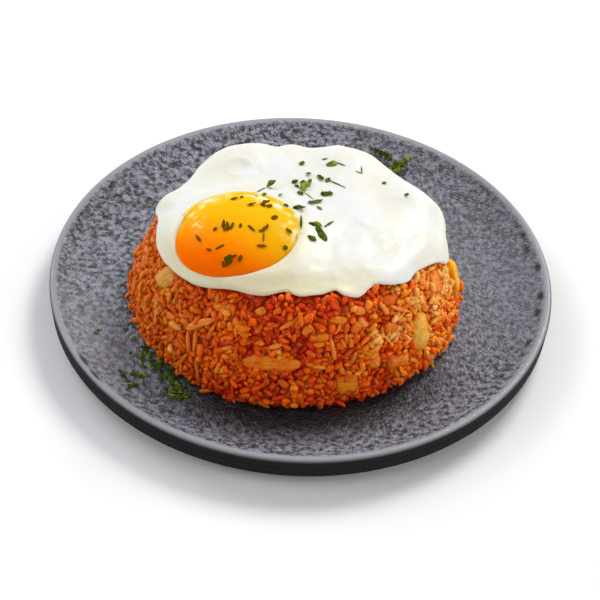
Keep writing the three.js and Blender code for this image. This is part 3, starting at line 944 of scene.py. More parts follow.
def on_mound(local, distance, bearing, turn, lift):
    """Local (along, across, out) points laid on the mound at a place, turned from level by an angle."""
    along, across, out = np.moveaxis(local, -1, 0)
    shape = (-1,) + (1,) * (along.ndim - 1)
    distance, bearing, turn, lift = (np.reshape(value, shape) for value in (distance, bearing, turn, lift))
    reach = outline_at(distance)[0]
    down = distance - along * np.sin(turn) - across * np.cos(turn)
    around = bearing + (along * np.cos(turn) - across * np.sin(turn)) / reach
    return over_mound(down, around, lift + out)


def numbered(pieces):
    """The pieces' numbers, shaped to be added to their rings, so that no two read a pattern alike."""
    return np.arange(len(pieces))[:, None, None, None]


def carried_to_ends(values):
    """Values of each piece's rings, the first and the last repeated for its start and end point."""
    values = values.reshape(len(values), -1)
    return np.concatenate([values[:, :1], values, values[:, -1:]], axis=1).ravel()


def edge_mark(share):
    """How near each point of a slab is to its rim: 0 in the middle of a face, 1 at the sides and ends."""
    rim = np.clip(np.abs(share).max(axis=-1), 0, 1).reshape(len(share), -1)
    return np.pad(rim, ((0, 0), (1, 1)), constant_values=1).ravel()


def make_slabs(name, laid_out, stain, rough, seed, look, stations=9, around=8):
    """Slabs of vegetable laid on the mound as one piece, marked where chilli stains them, darker towards
    one end, and with painted shade along the lower side.

    Rough is the depth of their lumps as a share of their width, and look is their slot and material.
    """
    distance, bearing, size, turn, lift = laid_out
    shapes = slab_shapes(size, stations, around, rough, seed)
    points, faces = skin(*(on_mound(local, distance, bearing, turn, lift) for local in shapes))
    rings = shapes[1]
    share = rings[..., :2] / (size[:, None, None, :2] / 2)
    patches = 0.35 * lattice_noise(rings + 30 * MM * numbered(size), 2.5 * MM, seed=seed + 3)
    # Painted shade: darker along the lower side; also darker towards one end.
    soaked = 0.4 * smoothstep(-share[..., 0], 0.3, 1.0) + 0.45 * smoothstep(-share[..., 1], 0.2, 1.0)
    marks = {
        "edge": edge_mark(share),
        "fibre": carried_to_ends(rings[..., 1] / MM + 7 * numbered(size)[..., 0]),
        "stain": carried_to_ends(np.clip(np.reshape(stain, (-1, 1, 1)) + soaked + patches, 0, 1)),
    }
    slot, material = look
    return build_piece(name, points, faces, material, slot, marks)


def piece_arrays(rows):
    """Places, sizes, turns and lifts of vegetable pieces, in metres and radians."""
    places, sizes, turns, raises, _, _ = zip(*rows)
    distance = np.array([down for down, _ in places]) * MM
    bearing = np.radians([around for _, around in places])
    size = np.array(sizes) * MM
    lift = np.array([raised - FACE_DEPTH for raised in raises]) * MM - size[:, 2] / 2
    return distance, bearing, size, np.radians(turns), lift - sunk_at(distance, bearing)


def make_vegetables(settings):
    """Each piece of kimchi, cabbage and onion that shows at the side of the mound."""
    looks = {
        "kimchi": ("kimchi", wet_vegetable_material("kimchi stalk", settings.amber, settings.amber_dark)),
        "gold": ("kimchi", wet_vegetable_material("golden kimchi", settings.gold, settings.amber)),
        "cabbage": (
            "cabbage", wet_vegetable_material("cabbage base", settings.cabbage, settings.amber, 0.25),
        ),
        "leaf base": (
            "cabbage", wet_vegetable_material("stained cabbage", settings.tan, settings.olive, 1.0),
        ),
        "onion": ("onion", wet_vegetable_material("cooked onion", settings.onion, settings.orange_stain)),
    }
    for number, (name, row) in enumerate(CHUNKS.items()):
        *_, look, stain = row
        piece = make_slabs(
            name + "_cooked", piece_arrays([row]), stain, rough=0.3, seed=60 + 5 * number, look=looks[look],
            stations=30, around=26,
        )
        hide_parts(name)
    for number, (name, rows) in enumerate(SMALL_PIECES.items()):
        *_, kinds, stains = zip(*rows)
        piece = make_slabs(
            name, piece_arrays(rows), stains, rough=0.32, seed=160 + 5 * number, look=looks[kinds[0]],
            stations=18, around=14,
        )
        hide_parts("rice_mound")


# The band of the mound that grains cover, as distances from the middle of its top, and how far clumps of
# them stand out.
GRAINS_FROM, GRAINS_TO = 41 * MM, MOUND_LENGTH - 1.5 * MM
CLUMP_HEIGHT = 1.05 * MM

# Layers of grains, from the outermost: (mean lift, its spread, how far two grains may overlap).
GRAIN_LAYERS = ((-0.4 * MM, 0.5 * MM, 0.34), (-0.9 * MM, 0.5 * MM, 0.46), (-1.4 * MM, 0.4 * MM, 0.52))

# Loose kimchi, in mm: least and most length, width and thickness; and the colour of the bits at their rims.
STRIP_SIZES = {
    "shreds": ((5.5, 11.5), (1.2, 2.0), (1.0, 1.6)),
    "bits": ((1.8, 3.8), (1.6, 2.8), (1.2, 2.0)),
}
SOAKED_THROUGH = (0.3, 0.03, 0.004)


class Crowd:
    """Balls already placed, kept by cell, so that a new ball can be tested against its neighbours."""

    def __init__(self, cell):
        self.cell = cell
        self.cells = {}

    def cell_at(self, ball):
        """The cell that holds this ball's middle, as three whole numbers."""
        return tuple(math.floor(value / self.cell) for value in ball)

    def room_for(self, balls, radius, overlap):
        """Whether none of these balls goes deeper into another than the overlap allows."""
        for x, y, z in balls:
            near = ((number - 1, number, number + 1) for number in self.cell_at((x, y, z)))
            for key in itertools.product(*near):
                for other_x, other_y, other_z, other_radius in self.cells.get(key, ()):
                    reach = (radius + other_radius) * (1 - overlap)
                    if (x - other_x) ** 2 + (y - other_y) ** 2 + (z - other_z) ** 2 < reach * reach:
                        return False
        return True

    def take(self, balls, radius):
        """Keep these balls."""
        for ball in balls:
            self.cells.setdefault(self.cell_at(ball), []).append((*ball, radius))


def slab_balls(laid_out, radius):
    """Balls under each slab's face and along its middle plane, which keep the grains out of it."""
    for at, around, whole, angle, raised in zip(*laid_out):
        long_half, wide_half = whole[0] / 2 - 1.5 * radius, max(whole[1] / 2 - 1.4 * radius, 0)
        along = np.linspace(-long_half, long_half, max(2, int(long_half / (0.7 * radius)) + 1))
        across = np.linspace(-wide_half, wide_half, 1 + int(2 * wide_half / radius + 0.5))
        out = [-0.3 * radius, max(whole[2] / 2 - 0.9 * radius, 0)]
        local = np.stack(np.meshgrid(along, across, out, indexing="ij"), axis=-1).reshape(1, -1, 3)
        yield on_mound(local, [at], [around], [angle], [raised])[0]


def spline_through(knots, steps):
    """A closed centripetal spline: straight mixes of four neighbours, mixed again twice.

    Each knot's time is the one before it plus the root of their distance.
    """
    points = [np.roll(knots, shift, axis=0)[:, None] for shift in (1, 0, -1, -2)]
    gaps = [np.linalg.norm(one - two, axis=-1, keepdims=True) for one, two in zip(points, points[1:])]
    gaps = [gap**0.5 for gap in gaps]
    times = [0.0, gaps[0], gaps[0] + gaps[1], gaps[0] + gaps[1] + gaps[2]]
    now = times[1] + (times[2] - times[1]) * np.linspace(0, 1, steps, endpoint=False)[None, :, None]
    # A first mix runs between neighbouring knots, a second over three, and the last over the middle two.
    for first, last in (((0, 1, 2), (1, 2, 3)), ((0, 1), (2, 3)), ((1,), (2,))):
        points = [
            (times[end] - now) / (times[end] - times[start]) * one
            + (now - times[start]) / (times[end] - times[start]) * two
            for start, end, one, two in zip(first, last, points, points[1:])
        ]
    return points[0].reshape(-1, knots.shape[1])


@functools.cache
def white_line():
    """Angle, reach and rise along the white's edge, over three turns so that any angle can be read."""
    angle = np.radians([row[0] for row in WHITE_OUTLINE])
    reach, rise = np.array([row[1:] for row in WHITE_OUTLINE]).T
    knots = np.stack([reach * np.cos(angle), reach * np.sin(angle), rise], axis=-1)
    line = spline_through(knots, 24)
    turned = np.unwrap(np.arctan2(line[:, 1], line[:, 0]))
    whole = np.concatenate([turned - FULL_TURN, turned, turned + FULL_TURN])
    return whole, np.tile(np.hypot(line[:, 0], line[:, 1]), 3) * MM, np.tile(line[:, 2], 3) * MM


def white_reach(around):
    """Distance from the middle of the mound's top to the white's edge at this angle."""
    whole, reach, _ = white_line()
    return np.interp(np.mod(around, FULL_TURN), whole, reach)


def white_rise(distance, around):
    """Extra height of the white where its edge curls up, fading in over the outer part of its width."""
    whole, _, rise = white_line()
    share = distance / white_reach(around)
    return np.interp(np.mod(around, FULL_TURN), whole, rise) * smoothstep(share, 0.55, 0.95)


def grain_shapes(count, dice, long_mean, wide_mean):
    """Grains along their first axis: an uneven ellipse section, blunt at both ends, bent; some short."""
    long_half = 0.5 * long_mean * np.clip(dice.normal(1, 0.22, count), 0.5, 1.4)
    wide_half = 0.5 * wide_mean * np.clip(dice.normal(1, 0.13, count), 0.7, 1.35)
    thick_half = wide_half * dice.uniform(0.72, 0.96, count)
    bend = dice.normal(0, 0.2, count) * long_half
    along = np.array([-0.95, -0.68, -0.22, 0.27, 0.7, 0.95])[:, None]
    angle = steps_round(7)
    taper = 1 + dice.uniform(-0.22, 0.22, count)[:, None, None] * along
    uneven = 1 + dice.normal(0, 0.07, (count, len(along), len(angle)))
    girth = (1 - np.abs(along) ** 4) ** 0.5 * taper * uneven
    long, wide, thick, bow = (each[:, None, None] for each in (long_half, wide_half, thick_half, bend))
    parts = (
        long * along,
        wide * girth * np.cos(angle) + bow * along**2,
        -thick * girth * np.sin(angle),
    )
    rings = np.stack(np.broadcast_arrays(*parts), axis=-1)
    nothing = np.zeros(count)
    starts = np.stack([-long_half, bend, nothing], axis=-1)
    ends = np.stack([long_half, bend, nothing], axis=-1)
    return starts, rings, ends, long_half, wide_half


def grain_axes(dice, level, up, out, hidden):
    """Each grain's own axes: a random heading on the surface, some tilt out of it and any roll."""
    count = len(level)
    heading = dice.uniform(0, np.pi, count)[:, None]
    tilt = dice.normal(0, 0.45, count)[:, None]
    roll = dice.uniform(0, np.pi, count)[:, None]
    tilt = np.where(hidden[:, None], 0.3 * tilt, tilt)
    flat = np.cos(heading) * level + np.sin(heading) * up
    along = np.cos(tilt) * flat + np.sin(tilt) * out
    side = unit(np.cross(out, along))
    across = np.cos(roll) * side + np.sin(roll) * np.cross(along, side)
    return np.stack([along, across, np.cross(along, across)], axis=1)


def lay_grains(settings, dice, crowd, layer_lift, spread, overlap):
    """One layer of grains, kept where they don't run into what is already there.

    Each grain is tested as three balls along it. Grains under the white lie lower and flatter.
    """
    count = settings.tries
    distance = dice.uniform(GRAINS_FROM, GRAINS_TO, count)
    bearing = dice.uniform(0, FULL_TURN, count)
    lift = dice.normal(layer_lift, spread, count) + CLUMP_HEIGHT * clump_at(distance, bearing)
    under = white_reach(bearing) - distance
    hidden = under > -1 * MM
    lift = np.where(hidden, np.minimum(lift, -1.3 * MM - 0.25 * np.clip(under, 0, 8 * MM)), lift)
    axes = grain_axes(dice, *mound_axes(distance, bearing, lift), hidden)
    centre = over_mound(distance, bearing, lift + dent_at(distance, bearing))
    means = (settings.grain_length, settings.grain_width)
    starts, rings, ends, long_half, wide_half = grain_shapes(count, dice, *means)
    reach = (long_half - 0.8 * wide_half)[:, None] * np.array([-1, 0, 1])
    balls = centre[:, None] + reach[..., None] * axes[:, :1]
    above = balls[..., 2].min(axis=1) > PLATE_FLOOR + 0.9 * wide_half
    kept = []
    for index in np.flatnonzero(above):
        spots, radius = balls[index].tolist(), float(wide_half[index])
        if crowd.room_for(spots, radius, overlap):
            crowd.take(spots, radius)
            kept.append(index)
    kept = np.array(kept, int)
    shapes = (starts[:, None], rings, ends[:, None])
    starts, rings, ends = (carried(shape[kept], centre[kept], axes[kept]) for shape in shapes)
    clumps, hollows = clump_at(distance[kept], bearing[kept]), hollow_at(distance[kept], bearing[kept])
    return starts[:, 0], rings, ends[:, 0], centre[kept], clumps, hollows


def grain_brightness(dice, centres, clumps, hollows):
    """How pale each grain is painted: partly random tone, mostly painted light and shade, lighter on clumps
    and to the right, darker low down and in hollows as painted shade.
    """
    x, z = centres[:, 0], centres[:, 2]
    # Painted light: lighter on clumps, to the right and high on the right; painted shade: darker under the
    # egg, low down and in the hollows.
    bright = 0.25 * lattice_noise(centres, 14 * MM, seed=21) + 1.1 * clumps
    bright += 0.4 * lattice_noise(centres, 2.2 * MM, seed=22)
    bright += 0.24 * dice.normal(0, 1, len(centres)) - 0.3 * ((z - 25 * MM) / (14 * MM)) ** 2
    bright += 0.8 * smoothstep(x, 10 * MM, 55 * MM) + 0.2 * smoothstep(-x, 25 * MM, 62 * MM)
    bright += 0.6 * smoothstep(x, 2 * MM, 34 * MM) * smoothstep(z, 22 * MM, 32 * MM)
    bright -= 0.15 * (1 - smoothstep(z, 8 * MM, 22 * MM))
    return bright - 0.5 * hollows / MM


def make_grains(settings, garnish):
    """Separate grains over the core in packed layers, sorted into three strengths of colour, mostly by
    their painted light and shade.
    """
    dice = np.random.default_rng(settings.seed)
    crowd = Crowd(2.8 * MM)
    strips = loose_strips(settings, dice)
    laid_out = [(piece_arrays(list(CHUNKS.values())), 1.3 * MM, 1.3 * MM)]
    laid_out += [(piece_arrays(rows), 0.7 * MM, 0.7 * MM) for rows in SMALL_PIECES.values()]
    laid_out += [(places, 0.7 * MM, 0.6 * MM) for places in strips.values()]
    for places, spacing, radius in laid_out:
        for balls in slab_balls(places, spacing):
            crowd.take(balls.tolist(), radius)
    layers = [lay_grains(settings, dice, crowd, *layer) for layer in GRAIN_LAYERS]
    starts, rings, ends, centres, clumps, hollows = (np.concatenate(parts) for parts in zip(*layers))
    # Three colours of rice; which one a grain takes comes mostly from its painted light and shade.
    kinds = (
        ("red", -1.1, 0.1, settings.red, settings.sauce, settings.orange),
        ("orange", 0.1, 0.8, settings.orange, settings.red, settings.pale),
        ("pale", 0.8, 1.9, settings.pale, settings.orange, settings.palest),
    )
    lowest, highest = kinds[0][1], kinds[-1][2]
    bright = np.clip(grain_brightness(dice, centres, clumps, hollows), lowest, highest - 0.001)
    for kind, low, high, *shades in kinds:
        material = rice_material(kind + " rice", *shades, settings.left_brown_colour)
        chosen = (bright >= low) & (bright < high)
        points, faces = skin(starts[chosen], rings[chosen], ends[chosen])
        each = len(points) // int(chosen.sum())
        tint = np.repeat(0.85 * (bright[chosen] - low) / (high - low), each)
        toast = left_brown_at(np.repeat(centres[chosen][:, 0], each))
        marks = {"tint": tint, "toast": toast}
        piece = build_piece("rice_grains_" + kind, points, faces, material, "rice", marks)
        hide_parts("rice_mound")
    make_strips(garnish, strips)


def clear_of_pieces(distance, bearing, long):
    """Whether a strip of this length at each place stays off every larger vegetable."""
    clear = np.ones(len(distance), bool)
    pieces = piece_arrays([*CHUNKS.values(), *itertools.chain(*SMALL_PIECES.values())])
    for at, around, (length_of, width_of, _), angle, _ in zip(*pieces):
        down = at - distance
        level = turn_from(bearing, around) * outline_at(at)[0]
        along = np.abs(down * np.sin(angle) + level * np.cos(angle))
        across = np.abs(down * np.cos(angle) - level * np.sin(angle))
        clear &= (along > length_of / 2 + 0.3 * long) | (across > width_of / 2 + 0.3 * long)
    return clear


def loose_strips(settings, dice):
    """Places for thin strips and small chopped bits of kimchi among the grains."""
    strips = {}
    for kind, count in (("shreds", settings.shreds), ("bits", settings.bits)):
        distance = dice.uniform(50 * MM, MOUND_LENGTH - 4 * MM, count)
        bearing = dice.uniform(0, FULL_TURN, count)
        ranges = STRIP_SIZES[kind]
        size = np.stack([dice.uniform(least, most, count) for least, most in ranges], axis=-1) * MM
        turn = dice.uniform(-np.pi, np.pi, count)
        clear = clear_of_pieces(distance, bearing, size[:, 0])
        clear &= distance > white_reach(bearing) + 0.4 * size[:, 0]
        raised = dice.uniform(0.2, 0.9, count) * MM - size[:, 2] / 2 + dent_at(distance, bearing)
        strips[kind] = tuple(part[clear] for part in (distance, bearing, size, turn, raised))
    return strips


def make_strips(settings, strips):
    """The loose strips and bits as two pieces of small wet slabs."""
    looks = {
        "shreds": ("kimchi", wet_vegetable_material("kimchi shreds", settings.amber, settings.amber_dark)),
        "bits": ("kimchi", wet_vegetable_material("chopped kimchi", settings.amber_dark, SOAKED_THROUGH)),
    }
    for number, (kind, places) in enumerate(strips.items()):
        piece = make_slabs(
            "kimchi_" + kind, places, stain=0.25, rough=0.16, seed=130 + 7 * number, look=looks[kind],
        )
        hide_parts("rice_mound")


# ---- The egg ------------------------------------------------------------------------------------

# The yolk's middle and the height of its foot over the mound; the gap between the white and the rice, the
# white's thickness under the yolk, and the radius of its rounded edge.
YOLK_CENTRE = np.array([-22.2, -17.1]) * MM
YOLK_BASE = 1.7 * MM
WHITE_GAP = 0.35 * MM
WHITE_UNDER_YOLK = 1.3 * MM
WHITE_BEAD = 1.5 * MM


def yolk_lift(settings, share):
    """Height of the yolk above the mound at this share of its radius."""
    dome = (1 - np.clip(share, 0, 1) ** 2.3) ** 0.6
    return YOLK_BASE + settings.yolk_height * (0.18 + 0.82 * dome)


def white_lift(settings, u, v):
    """Height of the white's top above the mound: thin, a collar at the yolk, waves, dents and a curl."""
    away = np.hypot(u - YOLK_CENTRE[0], v - YOLK_CENTRE[1]) - settings.yolk_radius
    collar = settings.collar * np.exp(-(np.maximum(away, 0) / settings.collar_reach) ** 2)
    flat = flat_points(u, v)
    waves = 0.42 * lattice_noise(flat, 10 * MM, seed=31) + 0.12 * lattice_noise(flat, 4 * MM, seed=32)
    lift = settings.thickness + collar + MM * waves * smoothstep(away, 0, 8 * MM)
    for x, y, radius, depth in WHITE_DENTS:
        gap = np.hypot(u / MM - x, v / MM - y) / radius
        lift = lift - depth * MM * (np.exp(-gap**2) - 0.6 * np.exp(-((gap - 1.3) / 0.35) ** 2))
    lift = lift + white_rise(np.hypot(u, v), np.arctan2(v, u))
    under = WHITE_UNDER_YOLK + (lift - WHITE_UNDER_YOLK) * np.exp(-(away / (1.2 * MM)) ** 2)
    return np.where(away < 0, under, lift)


def white_edge(around):
    """The white's edge with its small frills."""
    place = np.stack([np.cos(around), np.sin(around), np.zeros_like(around)], axis=-1) * 50 * MM
    frill = 0.6 * lattice_noise(place, 6 * MM, seed=33) + 0.35 * lattice_noise(place, 2.5 * MM, seed=34)
    calm = 0.35 + 0.65 * smoothstep(np.sin(around), -0.3, 0.1)
    return white_reach(around) + MM * frill * calm


def cream_and_shade_mark(settings, reach, around, edge):
    """Where the white is creamy: round the yolk, its own tone, and along its front edge, both stronger at
    the front as painted shade.
    """
    away = np.hypot(reach * np.cos(around) - YOLK_CENTRE[0], reach * np.sin(around) - YOLK_CENTRE[1])
    near_yolk = 0.75 * np.exp(-(np.maximum(away - settings.yolk_radius, 0) / (5 * MM)) ** 2)
    # Painted shade: the front of the white is coloured creamier.
    front = smoothstep(-np.sin(around) - 0.35 * np.cos(around), 0.2, 1.0)
    rim = 0.9 * front * (1 - smoothstep(edge - reach, 2 * MM, 17 * MM))
    return np.clip(np.maximum(near_yolk * (0.35 + 0.65 * front), rim), 0, 1)


def make_white(settings):
    """A layer over the mound: out along the top, round the edge as a half ellipse, and back underneath."""
    around = steps_round(560)
    edge = white_edge(around)
    inner = (edge - WHITE_BEAD) * np.linspace(0.012, 1, 92)[:, None] ** 0.9
    u, v = inner * np.cos(around), inner * np.sin(around)
    thin = smoothstep(edge - inner, 0, 9 * MM)
    curl = 0.85 * white_rise(inner, around)
    gap = WHITE_GAP + 0.5 * MM * (1 - thin) * (0.6 + lattice_noise(flat_points(u, v), 9 * MM, seed=35))
    gap = gap + curl
    top = gap + (white_lift(settings, u, v) - WHITE_GAP - curl) * (0.62 + 0.38 * thin)
    angle = np.linspace(0, np.pi, 9)[1:-1, None]
    middle, half = (top[-1] + gap[-1]) / 2, (top[-1] - gap[-1]) / 2
    back = slice(None, None, -6)
    reach = np.concatenate([inner, edge - WHITE_BEAD + WHITE_BEAD * np.sin(angle), inner[back]])
    under = np.minimum(gap[back], top[back] - 0.2 * MM)
    rings = over_mound(reach, around, np.concatenate([top, middle + half * np.cos(angle), under]))
    start, end = over_top(0, 0, float(top[0].mean())), over_top(0, 0, 0.3 * MM)
    points, faces = skin(start[None], rings[None], end[None])
    marks = {"cream": with_poles(cream_and_shade_mark(settings, reach, around, edge))}
    piece = build_piece("fried_white", points, faces, white_material(settings), "egg_white", marks)
    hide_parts("egg_white")


def yolk_film_and_glints(flat, around, share, far):
    """How thick the layer of white is on the yolk, from 0 to 1, and the streaks that break it.

    It covers the far rim, thins out inwards and parts at one bearing; the same mark holds small painted
    highlights at the yolk's left.
    """
    level = 0 * share
    ripple = np.stack([7 * np.cos(around) + level, 7 * np.sin(around) + level, 26 * share], axis=-1)
    streaks = lattice_noise(ripple, 1.0, seed=43)
    reach = smoothstep(share + 0.1 * lattice_noise(flat, 4 * MM, seed=44) + 0.05 * streaks, 0.6, 1.0)
    patches = 0.6 * streaks + 0.7 * lattice_noise(flat, 2.6 * MM, seed=46)
    film = far * reach * (0.12 + 0.88 * smoothstep(patches, -0.25, 0.45))
    film = film * (1 - 0.9 * np.exp(-((around - math.radians(94)) / 0.16) ** 2))
    u, v = flat[..., 0] / MM, flat[..., 1] / MM
    # Painted highlights, small and pale, at the yolk's left.
    painted_glints = np.exp(-((u + 36.7) / 2.6) ** 2 - ((v + 14.6) / 5) ** 2)
    film = np.maximum(film, 0.75 * painted_glints * smoothstep(lattice_noise(flat, 1.1 * MM, seed=45), 0.0, 0.5))
    return np.clip(np.maximum(film, far * smoothstep(share, 0.97, 1.05)), 0, 1), streaks


def make_yolk(settings):
    """A dome: rings out from its middle, each lifted by the dome's formula, then closed underneath.

    At the far side its rings go on over the white, where the higher of the two shows, softly joined.
    """
    around = steps_round(240)
    share = np.sin(np.linspace(0.02, 1, 72) * np.pi / 2)[:, None]
    far = smoothstep(np.cos(around - math.radians(75)), -0.3, 0.25)
    share = share * (1 + 0.07 * far * share**6)
    radius = settings.yolk_radius * share
    u = YOLK_CENTRE[0] + radius * np.cos(around)
    v = YOLK_CENTRE[1] + radius * np.sin(around)
    flat = flat_points(u, v)
    film, streaks = yolk_film_and_glints(flat, around, share, far)
    wrinkle = 0.16 * lattice_noise(flat, 7 * MM, seed=41) + 0.05 * lattice_noise(flat, 2.6 * MM, seed=42)
    dome = yolk_lift(settings, share) + MM * (wrinkle + 0.14 * film * streaks)
    away = np.maximum(share - 1, 0) * settings.yolk_radius
    layer = settings.thickness + settings.collar * np.exp(-(away / settings.collar_reach) ** 2) + 0.15 * MM
    layer = -2 * MM + far * (layer + 2 * MM)
    softness, foot = 0.35 * MM, 0.4 * MM
    top = (dome + layer + np.sqrt((dome - layer) ** 2 + softness**2)) / 2
    under = np.full((1, len(around)), foot)
    rings = np.concatenate([over_top(u, v, top), over_top(u[-1:], v[-1:], under)])
    start = over_top(*YOLK_CENTRE, float(yolk_lift(settings, 0)))
    end = over_top(*YOLK_CENTRE, foot)
    points, faces = skin(start[None], rings[None], end[None])
    # Painted light and shade: the yolk is coloured yellower towards the back.
    back = np.concatenate([share, np.ones((1, len(around)))]) * np.sin(around + 0.5)
    film = np.concatenate([film, np.zeros((1, len(around)))])
    marks = {"back": with_poles(back), "film": with_poles(film)}
    piece = build_piece("fried_yolk", points, faces, yolk_material(settings), "egg_yolk", marks)
    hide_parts("egg_yolk")


# ---- Herbs --------------------------------------------------------------------------------------

# Half the thickness of a leaf, in mm.
LEAF_HALF = 0.16

# Chopped leaves on the egg: (u, v, length, width in mm, heading in degrees, paleness).
EGG_LEAVES = (
    (0, 33, 3.5, 2.4, 70, 0.3), (12.5, 33, 5, 3, 20, 0.9), (9.5, 36.5, 2.5, 1.2, 0, 0.6),
    (33, 21.5, 2, 1.6, 40, 0.2), (41, 13, 2, 1.6, 0, 0.1), (3, 24.5, 3, 1.8, -60, 0.3),
    (-2.5, 18, 3, 2.2, 35, 0), (-1.5, 15, 2.4, 1.6, -50, 0.3), (1, 18, 2.6, 2, 20, 0),
    (1.5, 14, 5.5, 3, 75, 0.8), (3.5, 17, 4.5, 1.8, 80, 0.9), (0, 9.5, 3, 2, -40, 0),
    (8, 22.5, 4, 1.8, -55, 0), (11, 21, 3, 1.8, 60, 0.3), (10.5, 10.5, 5, 3.2, 15, 0),
    (6, 4, 7, 2.2, 32, 0.3), (7.5, 0.5, 3, 1.6, -50, 0.5), (0.5, -2.5, 5, 2, -60, 0.3),
    (-1.5, -3, 2.6, 1.6, 30, 0), (9, -15, 8.5, 4.2, -63, 0.15), (7.5, -10.5, 4, 2.4, -50, 0.6),
    (5.5, -11, 3.4, 2.2, 10, 0), (5.5, -19.5, 4, 2.4, -30, 0.1), (-11.5, 12, 4.5, 3.4, 30, 0.3),
    (-16, 3.5, 2.8, 1.6, 20, 0), (-13.5, 4.5, 2.2, 1.4, 60, 0.5), (-12.5, -5, 3.6, 2.2, 10, 0),
    (-11, -6, 3, 1.8, 60, 0.1), (-13.5, -6, 2.8, 1.6, -50, 0.1), (-9, -13, 3.6, 2.8, 60, 0.2),
    (-17.5, -6.5, 4, 1.3, 25, 0.1), (-24, -2, 3.4, 1.5, 5, 0), (-21.5, 0, 2.8, 1.2, 70, 0),
    (-7.5, 4.5, 2, 1.3, -20, 0.4), (-5, -2, 2.4, 1.5, -40, 0.3), (-27, -18.5, 4, 1.3, 85, 0),
    (-25.5, -19.5, 4.6, 1.3, 100, 0), (-24, -19.5, 3.6, 1.2, 72, 0.1), (-26, -21, 2.8, 1.2, 20, 0),
    (-30, -20.5, 2, 1.5, 30, 0), (-21, -19.5, 2.2, 1.3, 80, 0), (-17, -20.5, 4.4, 1.1, -50, 0.1),
    (-12.5, -20.5, 3, 1.5, 60, 0), (-11.5, -19, 2.6, 1.2, 80, 0.3), (-13.5, -21.5, 2, 1.2, -10, 0),
    (-3.5, -19, 3.4, 1.6, -55, 0), (-13, -28.5, 4, 1.1, 5, 0), (-4.5, -27, 2.2, 1.8, 60, 0),
    (-24.5, -35, 5, 2.8, 63, 0), (-23, -33.5, 3, 1.6, 20, 0.1), (-26.5, -36, 2.8, 1.4, 100, 0.1),
    (-20.5, -34, 2.8, 1.6, 80, 0), (-36, -23.5, 4.8, 1, -62, 0), (-32, -29.5, 2.4, 1, -33, 0.1),
    (-28, -29, 4, 1, 26, 0.1),
)

# Thin stems on the egg, in the same units.
EGG_STEMS = (
    (16.5, 32.5, 4, 0.7, -32, 0.5), (23.5, 28, 3, 0.6, -23, 0.5), (24.5, 30, 4.5, 0.6, 93, 0.6),
    (14.5, 18.5, 9.5, 0.8, -44, 0.4), (0.5, -2.5, 6, 0.7, 43, 0.4), (1, -11.5, 8, 1, -88, 0.2),
    (11.5, -8.5, 6, 0.9, 55, 0.3), (-15, 8, 6, 0.6, 60, 0.5), (-12.5, -24.5, 5, 0.5, -91, 0.3),
    (3.5, 8.5, 6, 0.5, -50, 0.6),
)

# Stems on the plate: (x, y, length, width in mm, heading in degrees, paleness).
PLATE_STEMS = ((-44.5, -65.5, 7, 1, 2, 1), (-43.5, -60, 5.5, 1.1, -60, 0.5), (-52, -48, 4, 0.9, 40, 0.8))

# Chopped leaves and crumbs on the plate, in mm: (x, y, how many, spread, longest).
PLATE_HERBS = (
    (-58, -43.5, 24, 4.2, 3.8), (-50, -50.5, 26, 4.8, 3.8), (-60, -58.5, 22, 5, 3.4), (-61, -64, 6, 2.8, 3),
    (-44.5, -61.5, 28, 4.8, 4.2), (-42, -66, 9, 3, 4), (-48, -56, 9, 3.6, 3), (-78, -36, 3, 2, 2.4),
    (-67, -32, 5, 4, 2.6),
)


def cluster_places(rows, dice):
    """Rows of (x, y, length, width, heading, paleness) spread round the middle of each cluster."""
    spots = [
        np.column_stack([
            dice.normal(x, spread * 0.55, count),
            dice.normal(y, spread * 0.55, count),
            longest * dice.uniform(0.3, 1.0, count) ** 1.3,
            longest * dice.uniform(0.15, 0.5, count),
            dice.uniform(0, 360, count),
            np.where(dice.random(count) < 0.32, dice.uniform(0.4, 1, count), dice.uniform(0, 0.1, count)),
        ])
        for x, y, count, spread, longest in rows
    ]
    return np.concatenate(spots)


def egg_top(settings, u, v):
    """The point on the egg's upper surface: the higher of the yolk and the white."""
    share = np.hypot(u - YOLK_CENTRE[0], v - YOLK_CENTRE[1]) / settings.yolk_radius
    lift = np.where(share < 0.97, yolk_lift(settings, share), white_lift(settings, u, v))
    return over_top(u, v, np.maximum(lift, np.where(share < 1, 0, white_lift(settings, u, v))))


def plate_top(x, y):
    """The point on the plate's upper surface."""
    return np.stack([x, y, plate_height(np.hypot(x, y))], axis=-1)


def lie_on(surface, x, y, heading):
    """A place on a surface, the direction of a heading along it there, and outwards."""
    step = 0.4 * MM
    centre = surface(x, y)
    first, second = surface(x + step, y) - centre, surface(x, y + step) - centre
    out = unit(np.cross(first, second))
    flat = np.cos(heading)[:, None] * first + np.sin(heading)[:, None] * second
    return centre, unit(flat - (flat * out).sum(-1, keepdims=True) * out), out


def flake_shapes(dice, length_of, width_of):
    """Thin curled leaves in their own axes: a pointed, jagged outline, closed round its edge.

    A leaf is cupped by its curl times the square of the way out from its middle, but a stem stays straight.
    """
    count = len(length_of)
    half, wide = (length_of / 2)[:, None, None], (width_of / 2)[:, None, None]
    curl = dice.uniform(-0.3, 0.6, count)[:, None, None]
    line, angle = np.linspace(-0.92, 0.92, 7)[:, None], steps_round(6)
    jag = 1 + 0.28 * dice.uniform(-1, 1, (count, len(line), 1))
    girth = (1 - np.abs(line) ** 2.2) ** 0.7 * jag
    across = wide * girth * np.cos(angle)
    lift = -np.minimum(LEAF_HALF * MM, 0.6 * wide) * np.sin(angle) * girth**0.5
    is_leaf = wide > 0.55 * MM
    cup = curl * (across**2 / wide + 0.35 * half * line**2) * is_leaf
    rings = np.stack(np.broadcast_arrays(half * line, across, lift + cup), axis=-1)
    tip = (0.35 * curl * half * is_leaf)[:, 0, 0]
    nothing = np.zeros(count)
    starts, ends = (np.stack([side * length_of / 2, nothing, tip], axis=-1) for side in (-1, 1))
    return starts, rings, ends


